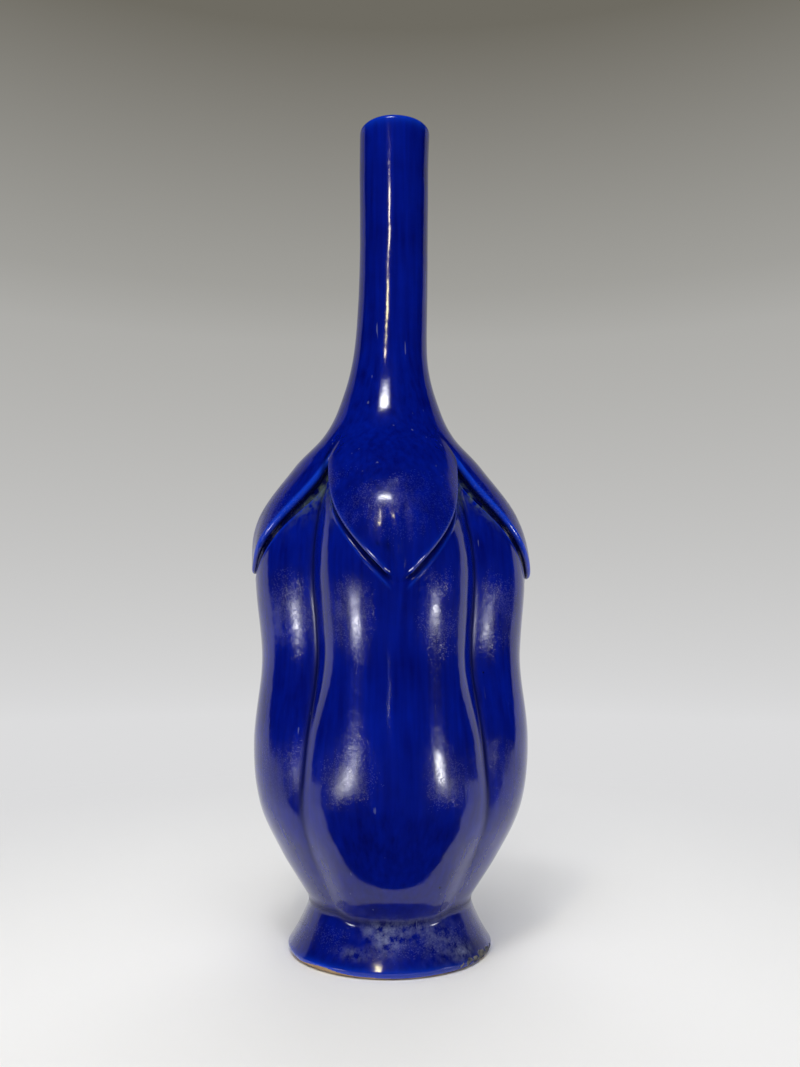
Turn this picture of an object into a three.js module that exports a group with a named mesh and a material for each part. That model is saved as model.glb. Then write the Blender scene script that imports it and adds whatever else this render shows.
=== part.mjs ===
// Long-neck vase: a hand-built glazed ceramic bottle with a four-lobed, waisted body, a calyx of four
// pointed leaves on its shoulder, a slender neck and a round flared foot.
// Millimetres, +Z up. The origin is the centre of the circle that the foot stands on.
// The clay sections are made apart and luted: a thin ring of slip fills each joint between them.
import * as THREE from "three";

// Foot, from the standing plane up to the crease under the body
const FOOT_FLARE = 7;
const FOOT_EDGE_ROUND = 2;
const FOOT_SWEEP_OUT = 2.4;
const FOOT_SWEEP_RISE = 6.6;
const RECESS_DEPTH = 6.8;
const RECESS_FLARE = 5;
const RECESS_ROUND = 3;
const LEDGE_WIDTH = 2.5;
const LEDGE_THICKNESS = 1.8;
const FLOOR_THICKNESS = 4;
const FLOOR_DROP = 2;

// Crest line of the lobes: the radius at each station and its rise above the station below
const CREASE_RADIUS = 22.6;
const FLARE_RADIUS = 31.6;
const FLARE_RISE = 12;
const HAUNCH_RADIUS = 38.2;
const HAUNCH_RISE = 14;
const BELLY_RADIUS = 40.8;
const BELLY_RISE = 18;
const WAIST_RADIUS = 38.8;
const WAIST_RISE = 23;
const BUST_RADIUS = 40.8;
const BUST_RISE = 21;
const SHOULDER_RADIUS = 37.7;
const SHOULDER_RISE = 20;
const NOTCH_RADIUS = 27.5;
const NOTCH_RISE = 14.5;
const COLLAR_RADIUS = 18.7;
const COLLAR_RISE = 10.5;
const ROOT_RADIUS = 14.2;
const ROOT_RISE = 12;
const THROAT_RADIUS = 11.5;
const THROAT_RISE = 17;
const STEM_RADIUS = 10.9;
const STEM_RISE = 32;
const LIP_RADIUS = 11.25;
const LIP_RISE = 40;

// Grooves between the lobes: their depth below the crest line at the lobed stations
const LOBES = 4;
const FLARE_GROOVE = 2.2;
const HAUNCH_GROOVE = 3.5;
const BELLY_GROOVE = 6.9;
const WAIST_GROOVE = 9;
const BUST_GROOVE = 9.5;
const SHOULDER_GROOVE = 8.8;
const NOTCH_GROOVE = 2.5;
const COLLAR_GROOVE = 0.5;
const GROOVE_ROUND_DEGREES = 2.5;

// Walls, leaves and joints
const BODY_WALL = 4;
const NECK_WALL = 3.2;
const LEAF_THICKNESS = 1.7;
const LEAF_BED = 0.5;
const LEAF_LENGTH = 36;
const LEAF_BEVEL = 2.4;
const LEAF_STRAIGHTNESS = 0.94;
const LEAF_TURN = 6;
const SLIP_THICKNESS = 0.8;
const SLIP_SETBACK = 0.6;
const SLIP_BEAD = 0.8;
const CLEARANCE = 0.3;

// Facets: columns in half a lobe, sides of the round pieces, rows of the sections, halvings of a search
const HALF_LOBE_COLUMNS = 6;
const ROUND_SIDES = 40;
const OUTER_ROWS = 14;
const INNER_ROWS = 8;
const BED_ROWS = 11;
const ARC_STEPS = 4;
const BISECTION_STEPS = 40;

const COBALT_GLAZE = { color: 0x10189a, roughness: 0.18, metalness: 0 };
const BUFF_CLAY = { color: 0xb59a78, roughness: 0.85, metalness: 0 };
const GREY_SLIP = { color: 0x9c9488, roughness: 0.9, metalness: 0 };

// Heights of the foot's ledge and of the stations, stacked from the standing plane
const joint = SLIP_THICKNESS + 2 * CLEARANCE;
const ledgeHeight = RECESS_DEPTH + LEDGE_THICKNESS;
const floorUnderside = ledgeHeight + joint;
const creaseHeight = floorUnderside + FLOOR_THICKNESS + FLOOR_DROP;
const flareHeight = creaseHeight + FLARE_RISE;
const haunchHeight = flareHeight + HAUNCH_RISE;
const bellyHeight = haunchHeight + BELLY_RISE;
const waistHeight = bellyHeight + WAIST_RISE;
const bustHeight = waistHeight + BUST_RISE;
const shoulderHeight = bustHeight + SHOULDER_RISE;
const notchHeight = shoulderHeight + NOTCH_RISE;
const collarHeight = notchHeight + COLLAR_RISE;
const rootHeight = collarHeight + ROOT_RISE;
const throatHeight = rootHeight + THROAT_RISE;
const stemHeight = throatHeight + STEM_RISE;
const lipHeight = stemHeight + LIP_RISE;

// The form of the clay: x is the crest radius, y the height and z the depth of the grooves
const form = new THREE.CatmullRomCurve3([
  new THREE.Vector3(CREASE_RADIUS, creaseHeight, 0),
  new THREE.Vector3(FLARE_RADIUS, flareHeight, FLARE_GROOVE),
  new THREE.Vector3(HAUNCH_RADIUS, haunchHeight, HAUNCH_GROOVE),
  new THREE.Vector3(BELLY_RADIUS, bellyHeight, BELLY_GROOVE),
  new THREE.Vector3(WAIST_RADIUS, waistHeight, WAIST_GROOVE),
  new THREE.Vector3(BUST_RADIUS, bustHeight, BUST_GROOVE),
  new THREE.Vector3(SHOULDER_RADIUS, shoulderHeight, SHOULDER_GROOVE),
  new THREE.Vector3(NOTCH_RADIUS, notchHeight, NOTCH_GROOVE),
  new THREE.Vector3(COLLAR_RADIUS, collarHeight, COLLAR_GROOVE),
  new THREE.Vector3(ROOT_RADIUS, rootHeight, 0),
  new THREE.Vector3(THROAT_RADIUS, throatHeight, 0),
  new THREE.Vector3(STEM_RADIUS, stemHeight, 0),
  new THREE.Vector3(LIP_RADIUS, lipHeight, 0),
], false, "catmullrom");

// The form's parameter at a height, by bisection, because its height only ever rises.
function parameterAt(height) {
  let low = 0;
  let high = 1;
  for (let step = 0; step < BISECTION_STEPS; step += 1) {
    const middle = (low + high) / 2;
    if (form.getPoint(middle).y < height) low = middle;
    else high = middle;
  }
  return (low + high) / 2;
}

// A point of a wall section: the form at a height, moved out along its normal by an offset.
function sectionPoint(height, offset) {
  const parameter = parameterAt(height);
  const point = form.getPoint(parameter);
  const tangent = form.getTangent(parameter);
  const slope = Math.hypot(tangent.x, tangent.y);
  return {
    radius: point.x + offset * tangent.y / slope,
    height: point.y - offset * tangent.x / slope,
    groove: Math.max(0, point.z),
  };
}

// Section points at even heights from one height to another, with an offset that may follow the height.
function sectionRun(from, to, rows, offsetAt) {
  return Array.from({ length: rows }, (_, row) => {
    const height = THREE.MathUtils.lerp(from, to, row / (rows - 1));
    return sectionPoint(height, offsetAt(height));
  });
}

// Radius of the lobed outline at an angle from a crest. The outline is the union of one circle per lobe,
// each moved out from the axis until neighbours meet at the groove, where the last few degrees are rounded.
function lobedRadius({ radius, groove }, angle) {
  const halfLobe = Math.PI / LOBES;
  const floor = 1 - groove / radius;
  const shift = radius * (1 - floor * floor) / (2 - 2 * Math.cos(halfLobe) * floor);
  const rounding = Math.cos(LOBES * THREE.MathUtils.degToRad(GROOVE_ROUND_DEGREES));
  const away = Math.acos(rounding * Math.cos(LOBES * angle)) / LOBES;
  return shift * Math.cos(away) + Math.sqrt((radius - shift) ** 2 - (shift * Math.sin(away)) ** 2);
}

// Columns around the axis, closer together towards the grooves: the turn from +X and the angle from a crest
const columns = Array.from({ length: LOBES * 2 * HALF_LOBE_COLUMNS }, (_, column) => {
  const lobe = Math.floor(column / (2 * HALF_LOBE_COLUMNS));
  const place = column % (2 * HALF_LOBE_COLUMNS) - HALF_LOBE_COLUMNS;
  const angle = Math.PI / LOBES * Math.sin(Math.PI / 2 * place / HALF_LOBE_COLUMNS);
  return { turn: 2 * Math.PI * lobe / LOBES + angle, angle };
});

// A closed lobed ring: the wall section at each column, joined to the next column all the way round.
// The section runs up the outside and down the inside.
function lobedRing(sectionAt) {
  const positions = [];
  const index = [];
  let rows = 0;
  for (const { turn, angle } of columns) {
    const section = sectionAt(angle);
    rows = section.length;
    for (const point of section) {
      const radius = lobedRadius(point, angle);
      positions.push(radius * Math.cos(turn), radius * Math.sin(turn), point.height);
    }
  }
  for (let column = 0; column < columns.length; column += 1) {
    const next = (column + 1) % columns.length;
    for (let row = 0; row < rows; row += 1) {
      const above = (row + 1) % rows;
      const a = column * rows + row;
      const b = next * rows + row;
      const c = next * rows + above;
      const d = column * rows + above;
      index.push(a, b, c, a, c, d);
    }
  }
  const geometry = new THREE.BufferGeometry();
  geometry.setAttribute("position", new THREE.Float32BufferAttribute(positions, 3));
  geometry.setIndex(index);
  geometry.computeVertexNormals();
  return geometry;
}

// A round piece turned about the axis from a profile of (radius, height) points.
function turned(profile) {
  return new THREE.LatheGeometry(profile, ROUND_SIDES).rotateX(Math.PI / 2);
}

const leafFace = LEAF_BED + LEAF_THICKNESS;
const pocketRadius = CREASE_RADIUS - BODY_WALL;
const ledgeRadius = pocketRadius - LEDGE_WIDTH;

// Foot: a flared ring, open below, with a ledge inside that carries the floor.
function footRing() {
  const footRadius = CREASE_RADIUS + FOOT_FLARE;
  const rimRadius = footRadius - FOOT_EDGE_ROUND;
  const recessRadius = pocketRadius + RECESS_FLARE;
  const sweepRadius = CREASE_RADIUS + FOOT_SWEEP_OUT;
  const sweepHeight = FOOT_EDGE_ROUND + FOOT_SWEEP_RISE;
  const top = creaseHeight - joint / 2;
  const profile = new THREE.Path();
  profile.moveTo(pocketRadius, ledgeHeight);
  profile.lineTo(ledgeRadius, ledgeHeight);
  profile.lineTo(ledgeRadius, RECESS_DEPTH);
  profile.lineTo(recessRadius - RECESS_ROUND, RECESS_DEPTH);
  profile.quadraticCurveTo(recessRadius, RECESS_DEPTH, recessRadius, RECESS_DEPTH - RECESS_ROUND);
  profile.lineTo(recessRadius, 0);
  profile.lineTo(rimRadius, 0);
  profile.absarc(rimRadius, FOOT_EDGE_ROUND, FOOT_EDGE_ROUND, -Math.PI / 2, 0, false);
  profile.quadraticCurveTo(sweepRadius, sweepHeight, CREASE_RADIUS, top);
  profile.lineTo(pocketRadius, top);
  profile.lineTo(pocketRadius, ledgeHeight);
  return turned(profile.getPoints(ARC_STEPS));
}

// Floor: a clay disc let into the foot's pocket, on the slip that covers the ledge.
function baseDisc() {
  const radius = pocketRadius - CLEARANCE;
  const profile = new THREE.Path();
  profile.moveTo(0, floorUnderside);
  profile.lineTo(radius, floorUnderside);
  profile.lineTo(radius, floorUnderside + FLOOR_THICKNESS);
  profile.lineTo(0, floorUnderside + FLOOR_THICKNESS);
  return turned(profile.getPoints());
}

// Lower half of the body: from the crease over the foot to the waist, with a flat lower edge.
function lowerBody() {
  const bottom = creaseHeight + joint / 2;
  const top = waistHeight - joint / 2;
  const section = [
    ...sectionRun(bottom, top, OUTER_ROWS, () => 0),
    ...sectionRun(top, bottom, INNER_ROWS, () => -BODY_WALL),
    { radius: pocketRadius, height: bottom, groove: 0 },
  ];
  return lobedRing(() => section);
}

// Upper half of the body: from the waist to the collar under the calyx.
function upperBody() {
  const bottom = waistHeight + joint / 2;
  const top = collarHeight - joint / 2;
  const section = [
    ...sectionRun(bottom, top, OUTER_ROWS, () => 0),
    ...sectionRun(top, bottom, INNER_ROWS, () => -BODY_WALL),
  ];
  return lobedRing(() => section);
}

// Height of a leaf's edge at an angle from its tip: straight from the tip, then turning up into the notch.
function leafEdgeHeight(angle) {
  const across = Math.min(1, Math.abs(angle) * LOBES / Math.PI);
  const turn = 1 - Math.sqrt(1 - across ** LEAF_TURN);
  const climb = LEAF_STRAIGHTNESS * across + (1 - LEAF_STRAIGHTNESS) * turn;
  return notchHeight - LEAF_LENGTH * (1 - climb);
}

// Calyx: the leaves lie on the lobes and grow together above the notches into the foot of the neck.
// Inside it steps in over the collar, and above that its wall thins from the body's to the neck's.
function calyx() {
  const top = throatHeight - joint / 2;
  const seat = collarHeight + joint / 2;
  const outside = (height) => leafFace * (1 - THREE.MathUtils.smoothstep(height, notchHeight, throatHeight));
  const thinning = (height) => (height - collarHeight) / (throatHeight - collarHeight);
  const inside = (height) => -THREE.MathUtils.lerp(BODY_WALL, NECK_WALL, thinning(height));
  return lobedRing((angle) => {
    const edge = leafEdgeHeight(angle);
    return [
      ...sectionRun(edge + LEAF_BEVEL, top, OUTER_ROWS, outside),
      ...sectionRun(top, seat, INNER_ROWS, inside),
      ...sectionRun(seat, edge, BED_ROWS, () => LEAF_BED),
    ];
  });
}

// Neck: a slender tube from the throat to a plain rounded lip.
function neck() {
  const bottom = throatHeight + joint / 2;
  const lipRound = NECK_WALL / 2;
  const top = lipHeight - lipRound;
  const toVector = ({ radius, height }) => new THREE.Vector2(radius, height);
  const outer = sectionRun(bottom, top, INNER_ROWS, () => 0).map(toVector);
  const inner = sectionRun(top, bottom, INNER_ROWS, () => -NECK_WALL).map(toVector);
  const lip = new THREE.Path().absarc(outer.at(-1).x - lipRound, top, lipRound, 0, Math.PI, false);
  const crown = lip.getPoints(ARC_STEPS).slice(1, -1);
  return turned([...outer, ...crown, ...inner, outer[0]]);
}

// Slip that lutes two lobed sections: a ring in the joint at a height, set back from the outside by an
// amount and squeezed out inside as a low bead.
function slipRing(height, setback, wall) {
  const low = height - SLIP_THICKNESS / 2;
  const high = height + SLIP_THICKNESS / 2;
  const section = [
    sectionPoint(low, -setback),
    sectionPoint(high, -setback),
    sectionPoint(high, -wall - SLIP_BEAD),
    sectionPoint(low, -wall - SLIP_BEAD),
  ];
  return lobedRing(() => section);
}

// Slip between flat faces: a flat washer between two radii whose underside is at a height.
function slipWasher(innerRadius, outerRadius, underside) {
  const profile = new THREE.Path();
  profile.moveTo(innerRadius, underside);
  profile.lineTo(outerRadius, underside);
  profile.lineTo(outerRadius, underside + SLIP_THICKNESS);
  profile.lineTo(innerRadius, underside + SLIP_THICKNESS);
  profile.lineTo(innerRadius, underside);
  return turned(profile.getPoints());
}

const vase = new THREE.Group();

// Adds a piece of the vase under its name, in its finish.
function addPiece(name, geometry, finish) {
  const mesh = new THREE.Mesh(geometry, new THREE.MeshStandardMaterial(finish));
  mesh.name = name;
  vase.add(mesh);
}

addPiece("foot_ring", footRing(), COBALT_GLAZE);
addPiece("base_disc", baseDisc(), BUFF_CLAY);
addPiece("lower_body", lowerBody(), COBALT_GLAZE);
addPiece("upper_body", upperBody(), COBALT_GLAZE);
addPiece("calyx", calyx(), COBALT_GLAZE);
addPiece("neck", neck(), COBALT_GLAZE);
addPiece("floor_slip", slipWasher(ledgeRadius, pocketRadius - CLEARANCE, ledgeHeight + CLEARANCE), GREY_SLIP);
addPiece("foot_slip", slipWasher(
  pocketRadius - SLIP_BEAD,
  CREASE_RADIUS - SLIP_SETBACK,
  creaseHeight - SLIP_THICKNESS / 2,
), GREY_SLIP);
addPiece("waist_slip", slipRing(waistHeight, SLIP_SETBACK, BODY_WALL), GREY_SLIP);
addPiece("collar_slip", slipRing(collarHeight, 0, BODY_WALL), GREY_SLIP);
addPiece("neck_slip", slipRing(throatHeight, SLIP_SETBACK, NECK_WALL), GREY_SLIP);

export default vase;
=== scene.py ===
"""Looks of the long-neck vase: a lobed bottle in glossy cobalt glaze, on a pale studio sweep.

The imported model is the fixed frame. Every clay section and slip ring is drawn again here as a fine numpy
surface on the same sizes, and dressed with a procedural glaze, clay or slip.
Sizes are in millimetres until a mesh is made, and in metres from there on.
"""
import logging
import math
from abc import ABC, abstractmethod
from dataclasses import dataclass, field, replace
from enum import Enum
from functools import cached_property
from typing import Any, ClassVar

import bpy
import numpy as np
from mathutils import Matrix, Vector


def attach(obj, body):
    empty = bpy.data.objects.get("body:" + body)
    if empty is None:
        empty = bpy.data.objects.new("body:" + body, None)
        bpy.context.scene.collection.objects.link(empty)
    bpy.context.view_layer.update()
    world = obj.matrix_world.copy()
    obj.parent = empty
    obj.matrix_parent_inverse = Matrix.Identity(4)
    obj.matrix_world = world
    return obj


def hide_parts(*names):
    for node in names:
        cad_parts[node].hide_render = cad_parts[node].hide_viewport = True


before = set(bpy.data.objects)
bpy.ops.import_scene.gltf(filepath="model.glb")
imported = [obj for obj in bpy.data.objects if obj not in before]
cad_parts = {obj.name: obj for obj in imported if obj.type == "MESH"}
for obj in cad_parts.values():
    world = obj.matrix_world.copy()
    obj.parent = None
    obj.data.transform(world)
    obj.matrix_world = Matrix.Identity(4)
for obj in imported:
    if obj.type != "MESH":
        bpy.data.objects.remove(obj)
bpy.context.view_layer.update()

BODY = "root"
MM = 0.001
LOBES = 4
HALF_LOBE = math.pi / LOBES
SHARP_EDGE = math.radians(48)
# Shortest and longest wave of a ripple, as shares of its wavelength.
WAVE_SPREAD = (0.7, 1.6)

log = logging.getLogger("vase")


class Lobe(Enum):
    """Lobes and their leaves, counted from +X towards +Y."""

    RIGHT = 0
    BACK = 1
    LEFT = 2
    FRONT = 3


class Slot(Enum):
    """Material slots of the record."""

    GLAZE = "cobalt_glaze"
    CLAY = "buff_clay"
    SLIP = "grey_slip"


class Mark(Enum):
    """What the glaze does at a point of the surface, from 0 to 1."""

    THIN = "thin"
    # Painted shade in grooves, creases and under the leaves' edges, on the same mark as real dark stains and
    # nicks.
    SHADE_AND_STAIN = "pool"
    HOLLOW = "hollow"
    CHIP = "chip"
    RUBBED = "rubbed"
    BLOOM = "bloom"
    GRIME = "grime"
    BARE = "bare"


def linear(hex_colour: str) -> tuple[float, float, float, float]:
    """Turn an sRGB hex colour to linear light.

    Args:
        hex_colour: six hex digits, such as "0a1188".

    Returns:
        Red, green, blue and an alpha of 1.
    """
    channels = [int(hex_colour[k:k + 2], 16) / 255 for k in (0, 2, 4)]
    light = [c / 12.92 if c <= 0.04045 else ((c + 0.055) / 1.055) ** 2.4 for c in channels]
    return (light[0], light[1], light[2], 1.0)


def smoothstep(value: np.ndarray, low: float | np.ndarray, high: float | np.ndarray) -> np.ndarray:
    """Rise from 0 at low to 1 at high, as 3t^2 - 2t^3.

    Args:
        value: where to evaluate it.
        low: value at which the rise starts.
        high: value at which it ends.

    Returns:
        The rise at each value.
    """
    t = np.clip((value - low) / (high - low), 0.0, 1.0)
    return t * t * (3 - 2 * t)


def hump(value: np.ndarray, middle: float | np.ndarray, width: float) -> np.ndarray:
    """A bell of height 1 around a middle, exp(-((value - middle) / width)^2)."""
    return np.exp(-(((value - middle) / width) ** 2))


def smooth_max(a: np.ndarray, b: np.ndarray, blend: float) -> np.ndarray:
    """The larger of two surfaces, with their meeting line filled by a fillet of a quarter of the blend."""
    return np.maximum(a, b) + np.maximum(blend - np.abs(a - b), 0.0) ** 2 / (4 * blend)


def crowded(count: int, crowding: float = 0.8) -> np.ndarray:
    """Places from 0 to 1 that crowd towards both ends, t - c sin(2 pi t) / (2 pi).

    Args:
        count: how many places.
        crowding: 0 for even places, near 1 for very fine steps at the ends.

    Returns:
        The places, in rising order.
    """
    t = np.linspace(0.0, 1.0, count)
    return t - crowding * np.sin(math.tau * t) / math.tau


def curve_through(points: np.ndarray, steps: int = 200) -> np.ndarray:
    """A smooth curve through points.

    Each span is the cubic whose slope at a point is half the chord between that point's neighbours.
    The first and last points are mirrored to give the ends a neighbour.

    Args:
        points: the points, one a row.
        steps: samples in a span.

    Returns:
        Samples along the whole curve, one a row.
    """
    ends = (2 * points[:1] - points[1:2], points, 2 * points[-1:] - points[-2:-1])
    padded = np.concatenate(ends)
    spans = len(points) - 1
    before, here, there, beyond = (padded[k:k + spans, None] for k in range(4))
    t = np.linspace(0.0, 1.0, steps, endpoint=False)[:, None]
    curve = (
        (2 * t**3 - 3 * t**2 + 1) * here
        + (t**3 - 2 * t**2 + t) * (there - before) / 2
        + (3 * t**2 - 2 * t**3) * there
        + (t**3 - t**2) * (beyond - here) / 2
    )
    return np.concatenate([curve.reshape(-1, points.shape[1]), points[-1:]])


def ripple(points: np.ndarray, wavelength: float, seed: int, waves: int = 20) -> np.ndarray:
    """Smooth unevenness in space: the sum of sine waves in seeded directions, lengths and phases.

    Args:
        points: where to evaluate it, with x, y, z last.
        wavelength: middle of the wavelengths, in the points' own unit.
        seed: seed of the random draws.
        waves: how many waves are summed.

    Returns:
        Values around 0 that seldom pass 1 either way.
    """
    draw = np.random.default_rng(seed)
    direction = draw.normal(size=(waves, 3))
    direction /= np.linalg.norm(direction, axis=1, keepdims=True)
    length = wavelength * draw.uniform(*WAVE_SPREAD, size=(waves, 1))
    phase = draw.uniform(0.0, math.tau, size=waves)
    angle = points @ (math.tau * direction / length).T + phase
    return np.sin(angle).sum(axis=-1) / math.sqrt(2 * waves)


def full_turn(columns: int) -> np.ndarray:
    """Angles from +X of columns spread evenly around the axis."""
    return np.linspace(0.0, math.tau, columns, endpoint=False)


@dataclass(frozen=True)
class Spot:
    """A soft spot on the surface: turn from +X in degrees, height, half width, half rise and strength."""

    turn: float
    height: float
    width: float
    rise: float
    share: float = 1.0

    def over(self, turn: np.ndarray, height: np.ndarray, radius: float) -> np.ndarray:
        """Strength of the spot over a surface: a bell across it times a bell up it.

        Args:
            turn: angle of each column from +X.
            height: height of each row or point.
            radius: radius of the surface near the spot.

        Returns:
            The strength, rows by columns.
        """
        across = np.angle(np.exp(1j * (turn - math.radians(self.turn)))) * radius
        return self.share * hump(across, 0.0, self.width) * hump(height, self.height, self.rise)


@dataclass(frozen=True)
class Station:
    """A station of the crest line: its radius, its height and the depth of the grooves there."""

    radius: float
    height: float
    groove: float = 0.0


@dataclass(frozen=True)
class Form:
    """The form of the clay: the crest line of the lobes and the depth of the grooves between them."""

    crease: Station = Station(23.4, 14.4)
    flare: Station = Station(32.2, 28.0, 2.2)
    haunch: Station = Station(38.8, 42.0, 3.5)
    belly: Station = Station(40.8, 60.0, 6.9)
    waist: Station = Station(38.8, 83.0, 9.0)
    bust: Station = Station(40.8, 107.5, 9.5)
    shoulder: Station = Station(37.7, 124.0, 8.8)
    notch: Station = Station(27.5, 138.5, 2.5)
    collar: Station = Station(18.7, 149.0, 0.5)
    root: Station = Station(14.2, 161.0)
    throat: Station = Station(11.5, 178.0)
    stem: Station = Station(10.9, 210.0)
    lip: Station = Station(11.25, 250.0)
    foot_joint: float = 16.0
    groove_round: float = 2.0
    body_wall: float = 4.0
    neck_wall: float = 3.2

    @cached_property
    def line(self) -> dict[str, np.ndarray]:
        """Samples of the crest line, close enough together to look values up between them.

        Returns:
            Radius, height, groove depth, and the two parts of the normal, out and up.
        """
        names = ("crease", "flare", "haunch", "belly", "waist", "bust", "shoulder", "notch", "collar",
                 "root", "throat", "stem", "lip")
        stations = [getattr(self, name) for name in names]
        rows = np.array([(s.radius, s.height, s.groove) for s in stations])
        radius, height, groove = curve_through(rows).T
        along = np.gradient(radius), np.gradient(height)
        length = np.hypot(*along)
        return {
            "radius": radius,
            "height": height,
            "groove": np.maximum(groove, 0.0),
            "out": along[1] / length,
            "up": -along[0] / length,
        }

    def section(self, height: np.ndarray, offset: float | np.ndarray = 0.0) -> tuple[np.ndarray, ...]:
        """Points of a wall section: the crest line at a height, moved out along its normal.

        Under the crease the line runs straight on.

        Args:
            height: heights on the crest line.
            offset: how far to move, negative into the wall.

        Returns:
            Crest radius, height and groove depth at each point.
        """
        line = self.line
        names = ("radius", "groove", "out", "up")
        at = {name: np.interp(height, line["height"], line[name]) for name in names}
        slope = (self.flare.radius - self.crease.radius) / (self.flare.height - self.crease.height)
        radius = at["radius"] + slope * np.minimum(height - self.crease.height, 0.0)
        return radius + offset * at["out"], height + offset * at["up"], at["groove"]

    def lobed(self, radius: np.ndarray, groove: np.ndarray, away: np.ndarray) -> np.ndarray:
        """Radius of the lobed outline at an angle from a crest.

        The outline is the union of one circle per lobe. Each is moved out from the axis until it meets its
        neighbour at the groove, and the last few degrees before the groove are rounded off.

        Args:
            radius: radius at the crests.
            groove: depth of the grooves below the crests.
            away: angle from a crest.

        Returns:
            The radius from the axis.
        """
        floor = 1 - groove / radius
        shift = radius * (1 - floor**2) / (2 - 2 * math.cos(HALF_LOBE) * floor)
        rounding = math.cos(LOBES * math.radians(self.groove_round))
        turn = np.arccos(rounding * np.cos(LOBES * away)) / LOBES
        return shift * np.cos(turn) + np.sqrt((radius - shift) ** 2 - (shift * np.sin(turn)) ** 2)


@dataclass(frozen=True)
class Columns:
    """Columns around the axis, shared by the lobed sections so that their edges meet.

    A leaf is cut at even places from -1 to 1, which a sine crowds towards its notches. The leaves are turned
    a little past the crests of the lobes, and lean further towards their notches, as they were laid on by
    eye. A lobe is rubbed around a middle on each flank, in degrees from its crest, by a share of its own.
    """

    half: int = 44
    crowding: float = 0.4
    leaf_turn: float = 0.6
    leaf_lean: float = 1.8
    crest_share: float = 0.3
    flank_middle: float = 20.0
    side_middle: float = 32.0
    flank_width: float = 11.0
    rub_right: float = 1.1
    rub_back: float = 1.0
    rub_left: float = 1.2
    rub_front: float = 1.15
    rub_belly: float = 53.0
    rub_belly_reach: float = 10.5
    rub_bust: float = 97.0
    rub_bust_reach: float = 13.0

    @cached_property
    def lobe(self) -> np.ndarray:
        """Number of the lobe that each column is on."""
        return np.repeat(np.arange(LOBES), 2 * self.half)

    @cached_property
    def leaf(self) -> np.ndarray:
        """Angle of each column from its leaf's tip."""
        place = np.tile(np.arange(-self.half, self.half) / self.half, LOBES)
        return HALF_LOBE * ((1 - self.crowding) * place + self.crowding * np.sin(math.pi / 2 * place))

    @cached_property
    def leaf_share(self) -> np.ndarray:
        """Share of the way from its leaf's tip to the notch, at each column."""
        return np.abs(self.leaf) / HALF_LOBE

    @cached_property
    def away(self) -> np.ndarray:
        """Angle of each column from its lobe's crest."""
        return self.leaf + np.radians(self.leaf_turn + self.leaf_lean * self.leaf_share**2)

    @cached_property
    def turn(self) -> np.ndarray:
        """Angle of each column from +X."""
        return self.lobe * 2 * HALF_LOBE + self.away

    @cached_property
    def flank(self) -> np.ndarray:
        """How far each column is rubbed: a little on the crest of its lobe, and most on the flanks.

        Returns:
            The share, one a column.
        """
        rub = np.array([self.rub_right, self.rub_back, self.rub_left, self.rub_front])[self.lobe]
        middle = np.array([self.side_middle, self.flank_middle] * 2)[self.lobe]
        flank = hump(np.degrees(np.abs(self.away)), middle, self.flank_width)
        return self.crest_share + (rub - self.crest_share) * flank

    def rubbed(self, height: np.ndarray) -> np.ndarray:
        """How far a lobe is rubbed at each height: a bell on its belly and a bell on its bust."""
        belly = hump(height, self.rub_belly, self.rub_belly_reach)
        return self.flank * (belly + hump(height, self.rub_bust, self.rub_bust_reach))

    def to_groove(self, radius: np.ndarray) -> np.ndarray:
        """Distance around the outline from each column to the nearest groove."""
        return np.arccos(np.cos(LOBES * (self.away - HALF_LOBE))) / LOBES * radius


@dataclass(frozen=True)
class HandShaping:
    """Unevenness of clay shaped without a mould.

    Broad and fine ripples only press the wall in, and the neck leans a little out of true.
    """

    broad_wave: float = 24.0
    broad_press: float = 0.10
    fine_wave: float = 9.0
    fine_press: float = 0.025
    seed: int = 11
    axis_guard: float = 1.0
    lean_heights: tuple[float, ...] = (0.0, 25.0, 60.0, 100.0, 135.0, 165.0, 200.0, 250.0)
    lean_shifts: tuple[float, ...] = (0.0, 0.1, 0.35, 0.1, -0.8, -0.55, 0.55, 0.9)

    def shape(self, points: np.ndarray) -> np.ndarray:
        """Press points towards the axis by the ripples and shift them sideways by the lean.

        Args:
            points: a grid of points with x, y, z last.

        Returns:
            The shaped grid.
        """
        broad = self.broad_press * (1 + ripple(points, self.broad_wave, self.seed))
        fine = self.fine_press * (1 + ripple(points, self.fine_wave, self.seed + 1))
        press = np.maximum(broad + fine, 0.0)
        radius = np.hypot(points[..., 0], points[..., 1])
        shaped = points.copy()
        shaped[..., :2] *= (1 - press / np.maximum(radius, self.axis_guard))[..., None]
        lean = curve_through(np.array([self.lean_shifts, self.lean_heights]).T)
        shaped[..., 0] += np.interp(points[..., 2], lean[:, 1], lean[:, 0])
        return shaped


FORM = Form()
COLUMNS = Columns()
HAND = HandShaping()
ROUND_COLUMNS = 288
ROUND_TURN = full_turn(ROUND_COLUMNS)


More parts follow.
